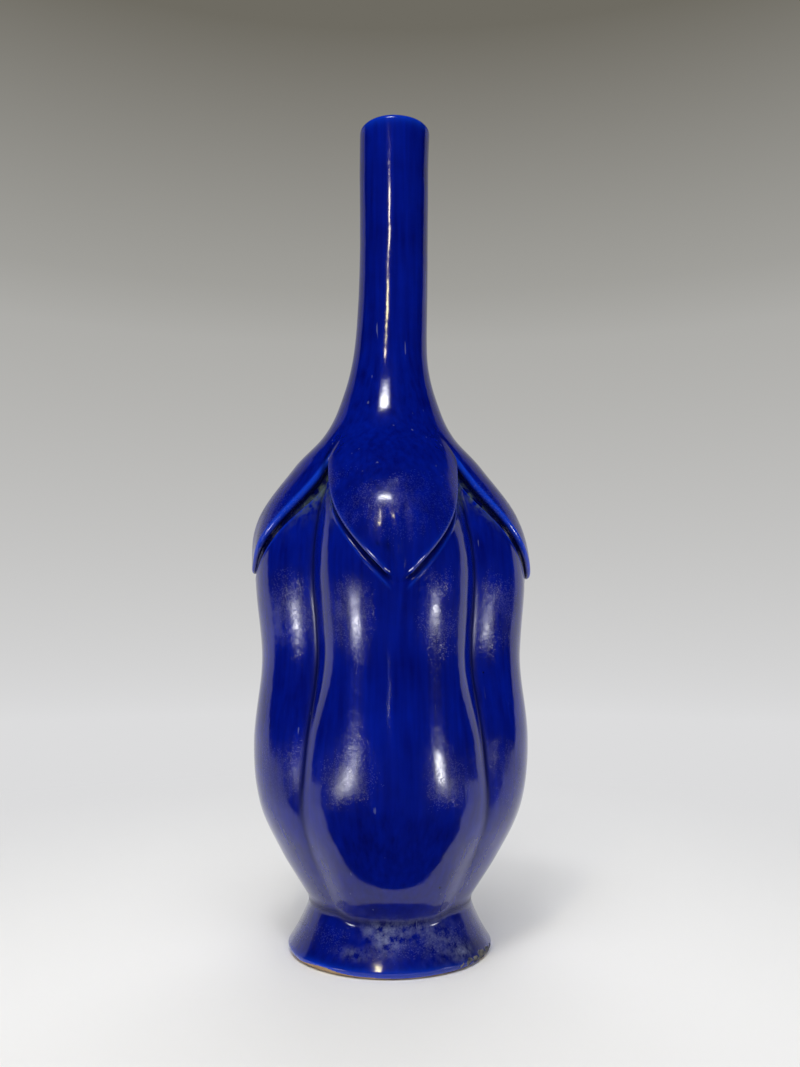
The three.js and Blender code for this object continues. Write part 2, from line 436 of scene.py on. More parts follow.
@dataclass(frozen=True)
class FrontLobe:
    """The front lobe, swelled from inside: its belly hangs lower, and its waist is shallower and higher."""

    crease: Station = Station(23.6, 12.6)
    flare: Station = Station(32.4, 25.6)
    haunch: Station = Station(38.6, 39.6)
    belly: Station = Station(40.8, 52.0)
    waist: Station = Station(39.3, 85.2)
    flank_share: float = 0.55
    groove_share: float = 0.95
    crown: float = 0.85
    crown_height: float = 52.0
    crown_reach: float = 27.0

    @cached_property
    def form(self) -> Form:
        """The common form with the front lobe's own stations."""
        stations = {name: getattr(self, name) for name in ("crease", "flare", "haunch", "belly", "waist")}
        return replace(FORM, **stations)

    def swell(self, height: np.ndarray, turn: np.ndarray) -> np.ndarray:
        """How far the front lobe stands out from the common form, fading from its flanks to its grooves.

        On the belly its flanks are pressed in, so that the crest is rounder there.

        Args:
            height: heights, rows by columns.
            turn: angle of each column from +X.

        Returns:
            The swell, rows by columns.
        """
        away = np.abs(np.angle(np.exp(1j * (turn - 2 * HALF_LOBE * Lobe.FRONT.value))))
        share = away / HALF_LOBE
        on_lobe = smoothstep(share, self.groove_share, self.flank_share)
        pressed = self.crown * hump(height, self.crown_height, self.crown_reach)
        flank = smoothstep(share, 0.0, self.flank_share)
        return on_lobe * (self.form.section(height)[0] - FORM.section(height)[0] - pressed * flank)


FRONT_LOBE = FrontLobe()


def body_outline(height: np.ndarray, turn: np.ndarray) -> np.ndarray:
    """Radius of the lobed body outside, with the front lobe's swell.

    Args:
        height: heights, one a row.
        turn: angle of each column from +X.

    Returns:
        The radius, rows by columns.
    """
    radius, _, groove = FORM.section(height)
    away = np.mod(turn + HALF_LOBE, 2 * HALF_LOBE) - HALF_LOBE
    return FORM.lobed(radius, groove, away) + FRONT_LOBE.swell(height, turn)


def around(radius: np.ndarray, height: np.ndarray, turn: np.ndarray) -> np.ndarray:
    """Points at radii and heights, carried around the axis.

    Args:
        radius: radius, one row a ring.
        height: height, one row a ring.
        turn: angle of each column from +X.

    Returns:
        Grid of points, rows by columns by x, y, z.
    """
    radius, height, turn = np.broadcast_arrays(radius, height, turn)
    return np.stack([radius * np.cos(turn), radius * np.sin(turn), height], axis=-1)


def turned(profile: list[tuple[float, float]], turn: np.ndarray) -> np.ndarray:
    """A profile of radii and heights, carried around the axis."""
    radius, height = np.array(profile).T[..., None]
    return around(radius, height, turn)


def lobed_wall(height: Any, offset: Any = 0.0, level: bool = False) -> np.ndarray:
    """Rows of a lobed wall: section points carried around the axis on the lobed outline.

    Args:
        height: heights, as a list of rows or a grid of rows by columns.
        offset: offset of each row or point from the outside.
        level: True to keep a row at its height, for a flat joint face.

    Returns:
        Grid of points, rows by columns by x, y, z.
    """
    height = np.asarray(height, float)
    offset = np.asarray(offset, float)
    height = height[:, None] if height.ndim == 1 else height
    offset = offset[:, None] if offset.ndim == 1 else offset
    radius, moved, groove = FORM.section(height, offset)
    outline = FORM.lobed(radius, groove, COLUMNS.away)
    return around(outline, height if level else moved, COLUMNS.turn)


@dataclass
class Graph:
    """A material's or world's node tree, filled through one function."""

    tree: bpy.types.NodeTree

    def add(self, kind: str, inputs: dict[Any, Any] | None = None, output: Any = 0, **settings: Any) -> Any:
        """Add a node with its settings, values and links.

        Args:
            kind: the node's type.
            inputs: values or output sockets for its inputs, by name or number.
            output: name or number of the output to return, or None to return the node.
            **settings: the node's own properties.

        Returns:
            The chosen output socket, or the node.
        """
        node = self.tree.nodes.new(kind)
        for name, value in settings.items():
            setattr(node, name, value)
        for key, value in (inputs or {}).items():
            if isinstance(value, bpy.types.NodeSocket):
                self.tree.links.new(value, node.inputs[key])
            else:
                node.inputs[key].default_value = value
        return node if output is None else node.outputs[output]


# Numbers of a Mix node's colour sockets, which share their names with its other sockets.
MIX_A = 6
MIX_B = 7
MIX_OUT = 2


def new_material(name: str) -> tuple[bpy.types.Material, Graph]:
    """Make an empty node material.

    Args:
        name: name of the material.

    Returns:
        The material and the graph to fill.
    """
    material = bpy.data.materials.new(name)
    material.use_nodes = True
    material.node_tree.nodes.clear()
    return material, Graph(material.node_tree)


def per_metre(size: float) -> float:
    """Texture scale, in features a metre, of a pattern whose features measure a size in millimetres."""
    return 1 / (size * MM)


@dataclass(frozen=True)
class CobaltGlaze:
    """Cobalt lead glaze, poured over buff clay and fired: a deep, wet blue that thins bright, with painted
    shade in its recesses.

    Old shelf wear has dulled it in fine specks, which scatter a pale haze around every highlight. They are
    drawn about a pixel wide, coarser than real ones, so that they show. A range gives the two values of a
    pattern between which it goes from none to full.
    """

    deep: str = "010656"
    middle: str = "011480"
    thin: str = "0d3cc4"
    shade_and_stain_tint: str = "01032c"
    hollow: str = "46524c"
    broken: str = "1b2234"
    chipped: str = "807b6f"
    haze: str = "8289a8"
    pinhole: str = "00010c"
    cloud_size: float = 16.0
    cobalt_range: tuple[float, float] = (0.62, 1.38)
    mottle_size: float = 2.2
    mottle_range: tuple[float, float] = (0.4, 0.6)
    streak_width: float = 1.5
    streak_stretch: float = 0.06
    speck_size: float = 0.26
    speck_range: tuple[float, float] = (1.0, 1.5)
    speck_relief: float = 0.006
    bloom_size: float = 2.4
    bloom_range: tuple[float, float] = (0.4, 0.66)
    bloom_haze: float = 0.8
    grit_range: tuple[float, float] = (0.42, 0.66)
    grit_share: float = 0.75
    wear_size: float = 13.0
    wear_range: tuple[float, float] = (0.3, 0.62)
    wear_least: float = 0.25
    pinhole_spacing: float = 17.0
    pinhole_size: float = 0.3
    pinhole_core: float = 0.6
    pinhole_luck: float = 0.45
    pinhole_depth: float = 0.06
    scratch_size: float = 0.88
    scratch_stretch: float = 0.05
    scratch_lean: tuple[float, float, float] = (0.12, 0.2, 0.0)
    scratch_range: tuple[float, float] = (0.83, 0.87)
    scratch_haze: float = 0.25
    peel_size: float = 2.6
    peel_relief: float = 0.03
    ior: float = 1.5
    gloss: float = 0.1
    worn_gloss: float = 0.32
    shine: float = 0.5
    grime_shine: float = 0.1
    coat: float = 0.12
    coat_gloss: float = 0.05

    def material(self) -> bpy.types.Material:
        """Build the glaze: its colour, its gloss where it isn't worn or dirty, and its relief.

        Returns:
            The material.
        """
        material, graph = new_material("cobalt_glaze")
        place = graph.add("ShaderNodeTexCoord", output="Object")
        marks = {
            mark: graph.add("ShaderNodeAttribute", output="Fac", attribute_name=mark.value) for mark in Mark
        }
        wear = self.wear(graph, place, marks[Mark.RUBBED])
        pinholes = self.pinholes(graph, place)
        colour = self.colour(graph, place, marks, pinholes)
        dull = wear
        for mark in (Mark.CHIP, Mark.GRIME):
            dull = graph.add("ShaderNodeMath", {0: dull, 1: marks[mark]}, operation="MAXIMUM")
        rough = graph.add("ShaderNodeMapRange", {
            "Value": dull, "To Min": self.gloss, "To Max": self.worn_gloss,
        })
        shine = graph.add("ShaderNodeMapRange", {
            "Value": marks[Mark.GRIME], "To Min": self.shine, "To Max": self.grime_shine,
        })
        normal = self.relief(graph, place, wear, pinholes)
        shader = graph.add("ShaderNodeBsdfPrincipled", {
            "Base Color": colour,
            "Roughness": rough,
            "IOR": self.ior,
            "Specular IOR Level": shine,
            "Normal": normal,
            "Coat Weight": self.coat,
            "Coat Roughness": self.coat_gloss,
            "Coat IOR": self.ior,
            "Coat Normal": normal,
        })
        graph.add("ShaderNodeOutputMaterial", {"Surface": shader}, output=None)
        return material

    def wear(self, graph: Graph, place: Any, rubbed: Any) -> Any:
        """Specks of shelf wear: cells of a fine random pattern, more of them where a broad cloud is high.

        Args:
            graph: the material's graph.
            place: Object coordinates.
            rubbed: socket of how far the place stands out to be rubbed.

        Returns:
            Socket of the wear, from 0 to 1.
        """
        grain = graph.add("ShaderNodeTexVoronoi", {
            "Vector": place, "Scale": per_metre(self.speck_size),
        }, output="Color")
        luck = graph.add("ShaderNodeSeparateColor", {0: grain})
        patches = graph.add("ShaderNodeTexNoise", {
            "Vector": place, "Scale": per_metre(self.wear_size), "Detail": 3.0, "Roughness": 0.65,
        })
        cloud = graph.add("ShaderNodeMapRange", {
            "Value": patches,
            "From Min": self.wear_range[0],
            "From Max": self.wear_range[1],
            "To Min": self.wear_least,
        })
        share = graph.add("ShaderNodeMath", {0: cloud, 1: rubbed}, operation="MULTIPLY")
        chance = graph.add("ShaderNodeMath", {0: luck, 1: share}, operation="ADD")
        return graph.add("ShaderNodeMapRange", {
            "Value": chance, "From Min": self.speck_range[0], "From Max": self.speck_range[1],
        })

    def pinholes(self, graph: Graph, place: Any) -> Any:
        """Burst bubbles: one small dot in some of the cells of a random cell pattern.

        Args:
            graph: the material's graph.
            place: Object coordinates.

        Returns:
            Socket that is 1 inside a pinhole.
        """
        cells = graph.add("ShaderNodeTexVoronoi", {
            "Vector": place, "Scale": per_metre(self.pinhole_spacing),
        }, output=None)
        reach = self.pinhole_size / self.pinhole_spacing
        dot = graph.add("ShaderNodeMapRange", {
            "Value": cells.outputs["Distance"], "From Min": reach, "From Max": self.pinhole_core * reach,
        })
        luck = graph.add("ShaderNodeSeparateColor", {0: cells.outputs["Color"]})
        chosen = graph.add("ShaderNodeMath", {0: luck, 1: self.pinhole_luck}, operation="GREATER_THAN")
        return graph.add("ShaderNodeMath", {0: dot, 1: chosen}, operation="MULTIPLY")

    def cobalt(self, graph: Graph, place: Any) -> Any:
        """The blue itself: clouds and downward runs between its deep and its middle tone.

        Args:
            graph: the material's graph.
            place: Object coordinates.

        Returns:
            Socket of the colour.
        """
        cloud = graph.add("ShaderNodeTexNoise", {
            "Vector": place, "Scale": per_metre(self.cloud_size), "Detail": 4.0, "Roughness": 0.6,
        })
        downwards = graph.add("ShaderNodeMapping", {"Vector": place, "Scale": (1, 1, self.streak_stretch)})
        runs = graph.add("ShaderNodeTexNoise", {
            "Vector": downwards, "Scale": per_metre(self.streak_width), "Detail": 2.0, "Roughness": 0.5,
        })
        both = graph.add("ShaderNodeMath", {0: cloud, 1: runs}, operation="ADD")
        share = graph.add("ShaderNodeMapRange", {
            "Value": both, "From Min": self.cobalt_range[0], "From Max": self.cobalt_range[1],
        })
        return graph.add("ShaderNodeMix", {
            0: share, MIX_A: linear(self.deep), MIX_B: linear(self.middle),
        }, output=MIX_OUT, data_type="RGBA")

    def scratches(self, graph: Graph, place: Any) -> Any:
        """Fine scratches: the peaks of a noise that is drawn out lengthwise and leans a little.

        Args:
            graph: the material's graph.
            place: Object coordinates.

        Returns:
            Socket of how far a scratch hazes the place.
        """
        leaning = graph.add("ShaderNodeMapping", {
            "Vector": place, "Rotation": self.scratch_lean, "Scale": (1, 1, self.scratch_stretch),
        })
        noise = graph.add("ShaderNodeTexNoise", {
            "Vector": leaning, "Scale": per_metre(self.scratch_size), "Detail": 0.0,
        })
        return graph.add("ShaderNodeMapRange", {
            "Value": noise,
            "From Min": self.scratch_range[0],
            "From Max": self.scratch_range[1],
            "To Max": self.scratch_haze,
        })

    def colour(self, graph: Graph, place: Any, marks: dict[Mark, Any], pinholes: Any) -> Any:
        """Colour of the glaze: the cobalt, then what each mark, the scratches and the pinholes do to it.

        Args:
            graph: the material's graph.
            place: Object coordinates.
            marks: sockets of the marks.
            pinholes: socket of the pinholes.

        Returns:
            Socket of the colour.
        """
        scum = graph.add("ShaderNodeTexNoise", {
            "Vector": place, "Scale": per_metre(self.bloom_size), "Detail": 6.0, "Roughness": 0.72,
        })
        blotches = graph.add("ShaderNodeMapRange", {
            "Value": scum,
            "From Min": self.bloom_range[0],
            "From Max": self.bloom_range[1],
            "To Max": self.bloom_haze,
        })
        hazed = graph.add("ShaderNodeMath", {0: blotches, 1: marks[Mark.BLOOM]}, operation="MULTIPLY")
        mottle = graph.add("ShaderNodeTexNoise", {
            "Vector": place, "Scale": per_metre(self.mottle_size), "Detail": 3.0, "Roughness": 0.6,
        })
        patchy = graph.add("ShaderNodeMapRange", {
            "Value": mottle, "From Min": self.mottle_range[0], "From Max": self.mottle_range[1],
        })
        dusty = graph.add("ShaderNodeMath", {0: marks[Mark.HOLLOW], 1: patchy}, operation="MULTIPLY")
        grit = graph.add("ShaderNodeMapRange", {
            "Value": scum,
            "From Min": self.grit_range[0],
            "From Max": self.grit_range[1],
            "To Max": self.grit_share,
        })
        gritty = graph.add("ShaderNodeMath", {0: marks[Mark.CHIP], 1: grit}, operation="MULTIPLY")
        layers = (
            (marks[Mark.THIN], self.thin),
            # painted shade in grooves, creases and under the leaves' edges, and the real dark stain and
            # nicks
            (marks[Mark.SHADE_AND_STAIN], self.shade_and_stain_tint),
            (dusty, self.hollow),
            (hazed, self.haze),
            (self.scratches(graph, place), self.haze),
            (marks[Mark.CHIP], self.broken),
            (gritty, self.chipped),
            (pinholes, self.pinhole),
        )
        colour = self.cobalt(graph, place)
        for amount, tint in layers:
            colour = graph.add("ShaderNodeMix", {
                0: amount, MIX_A: colour, MIX_B: linear(tint),
            }, output=MIX_OUT, data_type="RGBA")
        return colour

    def relief(self, graph: Graph, place: Any, wear: Any, pinholes: Any) -> Any:
        """Fine relief of the glaze: a soft orange peel, the specks of the wear and the pits of the pinholes.

        Args:
            graph: the material's graph.
            place: Object coordinates.
            wear: socket of the wear.
            pinholes: socket of the pinholes.

        Returns:
            Socket of the bent normal.
        """
        peel = graph.add("ShaderNodeTexNoise", {
            "Vector": place, "Scale": per_metre(self.peel_size), "Detail": 1.0, "Roughness": 0.4,
        })
        skin = graph.add("ShaderNodeBump", {"Height": peel, "Distance": self.peel_relief * MM})
        worn = graph.add("ShaderNodeBump", {
            "Height": wear, "Distance": self.speck_relief * MM, "Normal": skin,
        })
        pits = graph.add("ShaderNodeMath", {0: 1.0, 1: pinholes}, operation="SUBTRACT")
        return graph.add("ShaderNodeBump", {
            "Height": pits, "Distance": self.pinhole_depth * MM, "Normal": worn,
        })


@dataclass(frozen=True)
class BuffClay:
    """Buff stoneware clay, fired and left unglazed: matt, sandy, with darker grog and a toasted cast."""

    pale: str = "b79c7a"
    toasted: str = "8a6a48"
    grog: str = "5b4632"
    cloud_size: float = 9.0
    cast_range: tuple[float, float] = (0.35, 0.68)
    sand_size: float = 0.5
    sand_relief: float = 0.12
    sand_strength: float = 0.6
    grog_spacing: float = 2.4
    grog_range: tuple[float, float] = (0.16, 0.1)
    roughness: float = 0.88

    def material(self) -> bpy.types.Material:
        """Build the clay: a cloudy cast, dark grains of grog and a sandy relief.

        Returns:
            The material.
        """
        material, graph = new_material("buff_clay")
        place = graph.add("ShaderNodeTexCoord", output="Object")
        cloud = graph.add("ShaderNodeTexNoise", {
            "Vector": place, "Scale": per_metre(self.cloud_size), "Detail": 4.0, "Roughness": 0.6,
        })
        cast = graph.add("ShaderNodeMapRange", {
            "Value": cloud, "From Min": self.cast_range[0], "From Max": self.cast_range[1],
        })
        sand = graph.add("ShaderNodeTexNoise", {
            "Vector": place, "Scale": per_metre(self.sand_size), "Detail": 2.0, "Roughness": 0.7,
        })
        grains = graph.add("ShaderNodeTexVoronoi", {
            "Vector": place, "Scale": per_metre(self.grog_spacing),
        }, output="Distance")
        grog = graph.add("ShaderNodeMapRange", {
            "Value": grains, "From Min": self.grog_range[0], "From Max": self.grog_range[1],
        })
        body = graph.add("ShaderNodeMix", {
            0: cast, MIX_A: linear(self.pale), MIX_B: linear(self.toasted),
        }, output=MIX_OUT, data_type="RGBA")
        flecked = graph.add("ShaderNodeMix", {
            0: grog, MIX_A: body, MIX_B: linear(self.grog),
        }, output=MIX_OUT, data_type="RGBA")
        normal = graph.add("ShaderNodeBump", {
            "Height": sand, "Strength": self.sand_strength, "Distance": self.sand_relief * MM,
        })
        shader = graph.add("ShaderNodeBsdfPrincipled", {
            "Base Color": flecked, "Roughness": self.roughness, "Normal": normal,
        })
        graph.add("ShaderNodeOutputMaterial", {"Surface": shader}, output=None)
        return material


@dataclass(frozen=True)
class GreySlip:
    """Fired slip, the liquid clay that lutes the sections: smooth, chalky grey with drying streaks."""

    pale: str = "aaa294"
    dark: str = "7c7468"
    streak_size: float = 3.0
    streak_relief: float = 0.1
    streak_strength: float = 0.4
    roughness: float = 0.9

    def material(self) -> bpy.types.Material:
        """Build the slip: chalky streaks that are also its relief.

        Returns:
            The material.
        """
        material, graph = new_material("grey_slip")
        place = graph.add("ShaderNodeTexCoord", output="Object")
        streaks = graph.add("ShaderNodeTexNoise", {
            "Vector": place, "Scale": per_metre(self.streak_size), "Detail": 4.0, "Roughness": 0.65,
        })
        colour = graph.add("ShaderNodeMix", {
            0: streaks, MIX_A: linear(self.dark), MIX_B: linear(self.pale),
        }, output=MIX_OUT, data_type="RGBA")
        normal = graph.add("ShaderNodeBump", {
            "Height": streaks, "Strength": self.streak_strength, "Distance": self.streak_relief * MM,
        })
        shader = graph.add("ShaderNodeBsdfPrincipled", {
            "Base Color": colour, "Roughness": self.roughness, "Normal": normal,
        })
        graph.add("ShaderNodeOutputMaterial", {"Surface": shader}, output=None)
        return material


@dataclass(frozen=True)
class Palette:
    """The finished materials, made once and shared by the pieces."""

    glaze: bpy.types.Material
    clay: bpy.types.Material
    slip: bpy.types.Material


def quads_of(index: np.ndarray) -> list[list[int]]:
    """Quads between the neighbouring rows and columns of a grid of vertex numbers.

    Args:
        index: the vertex numbers, rows by columns; where the grid closes, its first row or column is
            repeated at the end.

    Returns:
        Four vertex numbers for each quad, which faces out where rows climb and columns run around the axis.
    """
    low, high = index[:-1], index[1:]
    corners = [low[:, :-1], low[:, 1:], high[:, 1:], high[:, :-1]]
    return np.stack(corners, axis=-1).reshape(-1, 4).tolist()


def fan_of(pole: int, ring: np.ndarray) -> list[list[int]]:
    """Triangles between a pole and a closed ring of vertex numbers."""
    return np.stack([np.full(len(ring), pole), ring, np.roll(ring, -1)], axis=-1).tolist()


def new_mesh(name: str, vertices: np.ndarray, faces: list[list[int]]) -> bpy.types.Mesh:
    """Make a mesh of vertices, in metres, and of the vertex numbers of its faces.

    Args:
        name: name of the mesh.
        vertices: the vertices, one a row.
        faces: vertex numbers of each face.

    Returns:
        The mesh, with no material yet.
    """
    mesh = bpy.data.meshes.new(name)
    mesh.from_pydata(vertices.tolist(), [], faces)
    return mesh


def new_object(name: str, data: bpy.types.ID) -> bpy.types.Object:
    """Make an object of a mesh, lamp or camera at the origin, and link it to the scene.

    Args:
        name: name of the object.
        data: what it shows.

    Returns:
        The new object.
    """
    thing = bpy.data.objects.new(name, data)
    bpy.context.scene.collection.objects.link(thing)
    return thing


@dataclass
class Patch:
    """Rows of a surface with their marks, which default to 0."""

    points: np.ndarray
    marks: dict[Mark, np.ndarray] = field(default_factory=dict)

    def mark(self, mark: Mark) -> np.ndarray:
        """Values of one mark on every point of the patch."""
        return np.broadcast_to(self.marks.get(mark, np.zeros(1)), self.points.shape[:2])


BARE_PATCH = {Mark.BARE: np.ones(1)}
BARE_SHARE = 0.5


def make_piece(name: str, patches: list[Patch], poles: bool = False) -> bpy.types.Object:
    """Join patches of rows into one closed mesh object.

    The rows run up the outside and down the inside. The columns wrap around the axis. A ring's last row
    joins its first one; a piece with poles is closed by a fan at its first and last rows instead.

    Args:
        name: name of the piece.
        patches: the patches, in the order of their rows.
        poles: True to close the ends with poles on the axis.

    Returns:
        The new object, at the origin.
    """
    grid = np.concatenate([patch.points for patch in patches])
    vertices = grid.reshape(-1, 3)
    index = np.arange(len(vertices)).reshape(grid.shape[:2])
    faces = quads_of(np.pad(index, ((0, 0 if poles else 1), (0, 1)), mode="wrap"))
    if poles:
        faces += fan_of(len(vertices), index[0, ::-1]) + fan_of(len(vertices) + 1, index[-1])
        vertices = np.concatenate([vertices, grid[[0, -1]].mean(axis=1)])
    mesh = new_mesh(name, vertices * MM, faces)
    for mark in Mark:
        values = np.zeros(len(vertices), np.float32)
        values[:index.size] = np.concatenate([patch.mark(mark) for patch in patches]).ravel()
        mesh.attributes.new(mark.value, "FLOAT", "POINT").data.foreach_set("value", values)
    mesh.shade_smooth()
    mesh.set_sharp_from_angle(angle=SHARP_EDGE)
    return new_object(name, mesh)


def seat(piece: bpy.types.Object, node: str) -> None:
    """Put a piece in the place of its node of the frame: it rides on the body, and the node's own part is
    hidden.

    Args:
        piece: the finished piece.
        node: the node that it stands for.
    """
    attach(piece, BODY)
    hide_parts(node)
    log.info("%s: %d vertices, %d faces", piece.name, len(piece.data.vertices), len(piece.data.polygons))


@dataclass(frozen=True)
class GlazedSection(ABC):
    """A clay section that stands for one node of the frame, glazed except where it is left bare."""

    node: ClassVar[str]

    @abstractmethod
    def build(self) -> bpy.types.Object:
        """Build the section's closed ring of rows, with its marks."""

    def dress(self, palette: Palette) -> None:
        """Build the section, glaze it, leave the faces with a high bare mark as clay, and seat it.

        Args:
            palette: the materials.
        """
        piece = self.build()
        mesh = piece.data
        mesh.materials.append(palette.glaze)
        mesh.materials.append(palette.clay)
        bare = np.zeros(len(mesh.vertices), np.float32)
        mesh.attributes[Mark.BARE.value].data.foreach_get("value", bare)
        corners = np.zeros(len(mesh.loops), np.int32)
        mesh.loops.foreach_get("vertex_index", corners)
        is_clay = bare[corners].reshape(-1, 4).mean(axis=1) > BARE_SHARE
        mesh.polygons.foreach_set("material_index", is_clay.astype(np.int32))
        seat(piece, self.node)


@dataclass(frozen=True)
class Joint:
    """A luted joint: the glaze closes its outer edge, and behind that edge it is open for the slip."""

    lip: float = 0.55
    half_gap: float = 0.42


@dataclass(frozen=True)
class GrooveMark:
    """A mark along the grooves between the lobes.

    It has a share and a half width, and it rises from nothing in a shallow groove to the full in a deep one.
    """

    share: float
    width: float
    shallow: float
    deep: float

    def over(self, radius: np.ndarray, groove: np.ndarray) -> np.ndarray:
        """Strength of the mark: a bell across the groove times a smooth step of its depth.

        Args:
            radius: radius of the surface.
            groove: depth of the grooves there.

        Returns:
            The strength, rows by columns.
        """
        across = self.share * hump(COLUMNS.to_groove(radius), 0.0, self.width)
        return across * smoothstep(groove, self.shallow, self.deep)


@dataclass(frozen=True)
class Chip:
    """A chip in the foot's edge: the turn of a ball from +X in degrees, its radius, bite and height."""

    turn: float
    radius: float
    bite: float
    height: float


JOINT = Joint()
# Painted shade along the bottoms of the grooves between the lobes.
GROOVE_PAINTED_SHADE = GrooveMark(share=0.8, width=1.0, shallow=0.5, deep=5.0)
GROOVE_GRIME = GrooveMark(share=1.0, width=1.6, shallow=0.5, deep=5.0)


@dataclass(frozen=True)
class Foot(GlazedSection):
    """Flared foot, open below, with a ledge inside for the floor and a bare rim to stand on."""

    node: ClassVar[str] = "foot_ring"
    edge_radius: float = 29.6
    edge_round: float = 2.0
    sweep_radius: float = 25.9
    sweep_height: float = 7.4
    top_radius: float = 23.9
    top_height: float = 12.9
    recess_radius: float = 23.6
    recess_depth: float = 6.8
    recess_round: float = 3.0
    ledge_radius: float = 16.1
    ledge_height: float = 8.6
    pocket_radius: float = 18.6
    fillet: float = 2.0
    columns: int = 576
    wall_rows: int = 52
    round_rows: int = 18
    recess_rows: int = 8
    sweep_samples: int = 200
    glaze_end: float = 0.35
    glaze_wander: float = 0.25
    glaze_wave: float = 9.0
    glaze_seed: int = 5
    glaze_fade: float = 0.05
    bare_left: Spot = Spot(228.0, 0.0, 13.0, 2.0, 1.1)
    thin_share: float = 0.5
    thin_height: float = 1.5
    thin_reach: float = 1.1
    end_rise: float = 0.2
    end_reach: float = 0.35
    crease_width: float = 1.1
    crease_shade: float = 0.6
    crease_grime: float = 0.8
    stain: Spot = Spot(-42.0, 4.0, 11.0, 4.0, 0.7)
    stain_grime: float = 0.7
    rub_share: float = 0.7
    rub_height: float = 7.5
    rub_reach: float = 5.0
    chips: tuple[Chip, ...] = (
        Chip(-50.0, 1.5, 0.4, 1.0),
        Chip(-44.5, 2.1, 0.6, 1.5),
        Chip(-39.0, 2.6, 0.75, 1.1),
        Chip(-32.0, 3.7, 1.2, 1.7),
        Chip(-24.0, 3.3, 1.05, 1.2),
        Chip(-17.0, 2.3, 0.7, 1.6),
    )
    chip_rough: float = 0.3
    chip_wave: float = 1.3
    chip_seed: int = 31
    chip_shallow: float = 0.02
    chip_deep: float = 0.12
    blooms: tuple[Spot, ...] = (
        Spot(-93.0, 9.6, 4.2, 3.2, 1.0),
        Spot(-103.0, 11.2, 3.4, 1.8, 0.6),
        Spot(-76.0, 11.6, 5.4, 2.0, 0.55),
        Spot(-60.0, 8.6, 6.5, 4.2, 0.4),
        Spot(-113.0, 5.6, 4.6, 1.2, 0.5),
        Spot(-47.0, 4.4, 3.6, 1.6, 0.6),
        Spot(40.0, 9.0, 7.0, 3.0, 0.5),
        Spot(150.0, 8.0, 8.0, 3.4, 0.5),
    )

    @cached_property
    def turn(self) -> np.ndarray:
        """Angle of each column from +X."""
        return full_turn(self.columns)

    @property
    def rim(self) -> float:
        """Radius of the rim that the vase stands on."""
        return self.edge_radius - self.edge_round

    def wall(self, height: np.ndarray) -> np.ndarray:
        """Radius of the foot's wall: a quadratic sweep from the edge to the crease, then straight on.

        Args:
            height: heights above the standing plane.

        Returns:
            The radius at each height.
        """
        t = np.linspace(0.0, 1.0, self.sweep_samples)
        start, middle, end = (1 - t) ** 2, 2 * t * (1 - t), t**2
        radii = start * self.edge_radius + middle * self.sweep_radius + end * self.top_radius
        heights = start * self.edge_round + middle * self.sweep_height + end * self.top_height
        slope = (self.top_radius - self.sweep_radius) / (self.top_height - self.sweep_height)
        beyond = self.top_radius + slope * (height - self.top_height)
        return np.where(height > self.top_height, beyond, np.interp(height, heights, radii))

    def outside(self, height: np.ndarray) -> np.ndarray:
        """Radius outside at each height and column: the wall, filled towards the body over the crease."""
        return smooth_max(self.wall(height), body_outline(height, self.turn), self.fillet)

    def chipped(self, points: np.ndarray) -> tuple[np.ndarray, np.ndarray]:
        """Bite shell-shaped chips out of the edge.

        A chip is a ball that reaches over the edge. Points inside the ball are pushed out to its surface,
        which a fine ripple roughens.

        Args:
            points: the foot's outer rows.

        Returns:
            The chipped rows, and how far each point is chipped, from 0 to 1.
        """
        cut = points.copy()
        rough = self.chip_rough * ripple(points, self.chip_wave, self.chip_seed)[..., None]
        for chip in self.chips:
            turn = math.radians(chip.turn)
            reach = self.edge_radius + chip.radius - chip.bite
            middle = np.array([reach * math.cos(turn), reach * math.sin(turn), chip.height])
            away = cut - middle
            distance = np.linalg.norm(away, axis=-1, keepdims=True)
            ragged = chip.radius + rough
            cut = np.where(distance < ragged, middle + away / distance * ragged, cut)
        depth = np.linalg.norm(cut - points, axis=-1)
        return cut, smoothstep(depth, self.chip_shallow, self.chip_deep)

    def marks(self, height: np.ndarray, chips: np.ndarray) -> dict[Mark, np.ndarray]:
        """What the glaze does outside: it stops above the rim and thins on the edge, and the crease gets
        painted shade.

        Args:
            height: height of each row.
            chips: how far each point is chipped.

        Returns:
            The marks, rows by columns.
        """
        wander = ripple(around(self.rim, 0.0, self.turn), self.glaze_wave, self.glaze_seed)
        ends = self.glaze_end + self.glaze_wander * wander
        ends = ends + self.bare_left.over(self.turn, np.zeros(1), self.edge_radius)
        at_edge = hump(height, self.thin_height, self.thin_reach)
        at_end = hump(height, ends + self.end_rise, self.end_reach)
        crease = hump(self.wall(height) - body_outline(height, self.turn), 0.0, self.crease_width)
        stain = self.stain.over(self.turn, height, self.rim)
        bloom = sum(spot.over(self.turn, height, self.rim) for spot in self.blooms)
        return {
            Mark.BARE: smoothstep(height, ends + self.glaze_fade, ends - self.glaze_fade),
            Mark.CHIP: chips,
            Mark.THIN: np.minimum(self.thin_share * (at_edge + at_end), 1.0),
            # painted shade in the crease, and a real stain near the chips
            Mark.SHADE_AND_STAIN: np.maximum(self.crease_shade * crease, stain),
            Mark.GRIME: np.maximum(self.crease_grime * crease, self.stain_grime * stain),
            Mark.RUBBED: self.rub_share * hump(height, self.rub_height, self.rub_reach),
            Mark.BLOOM: np.minimum(bloom, 1.0),
        }

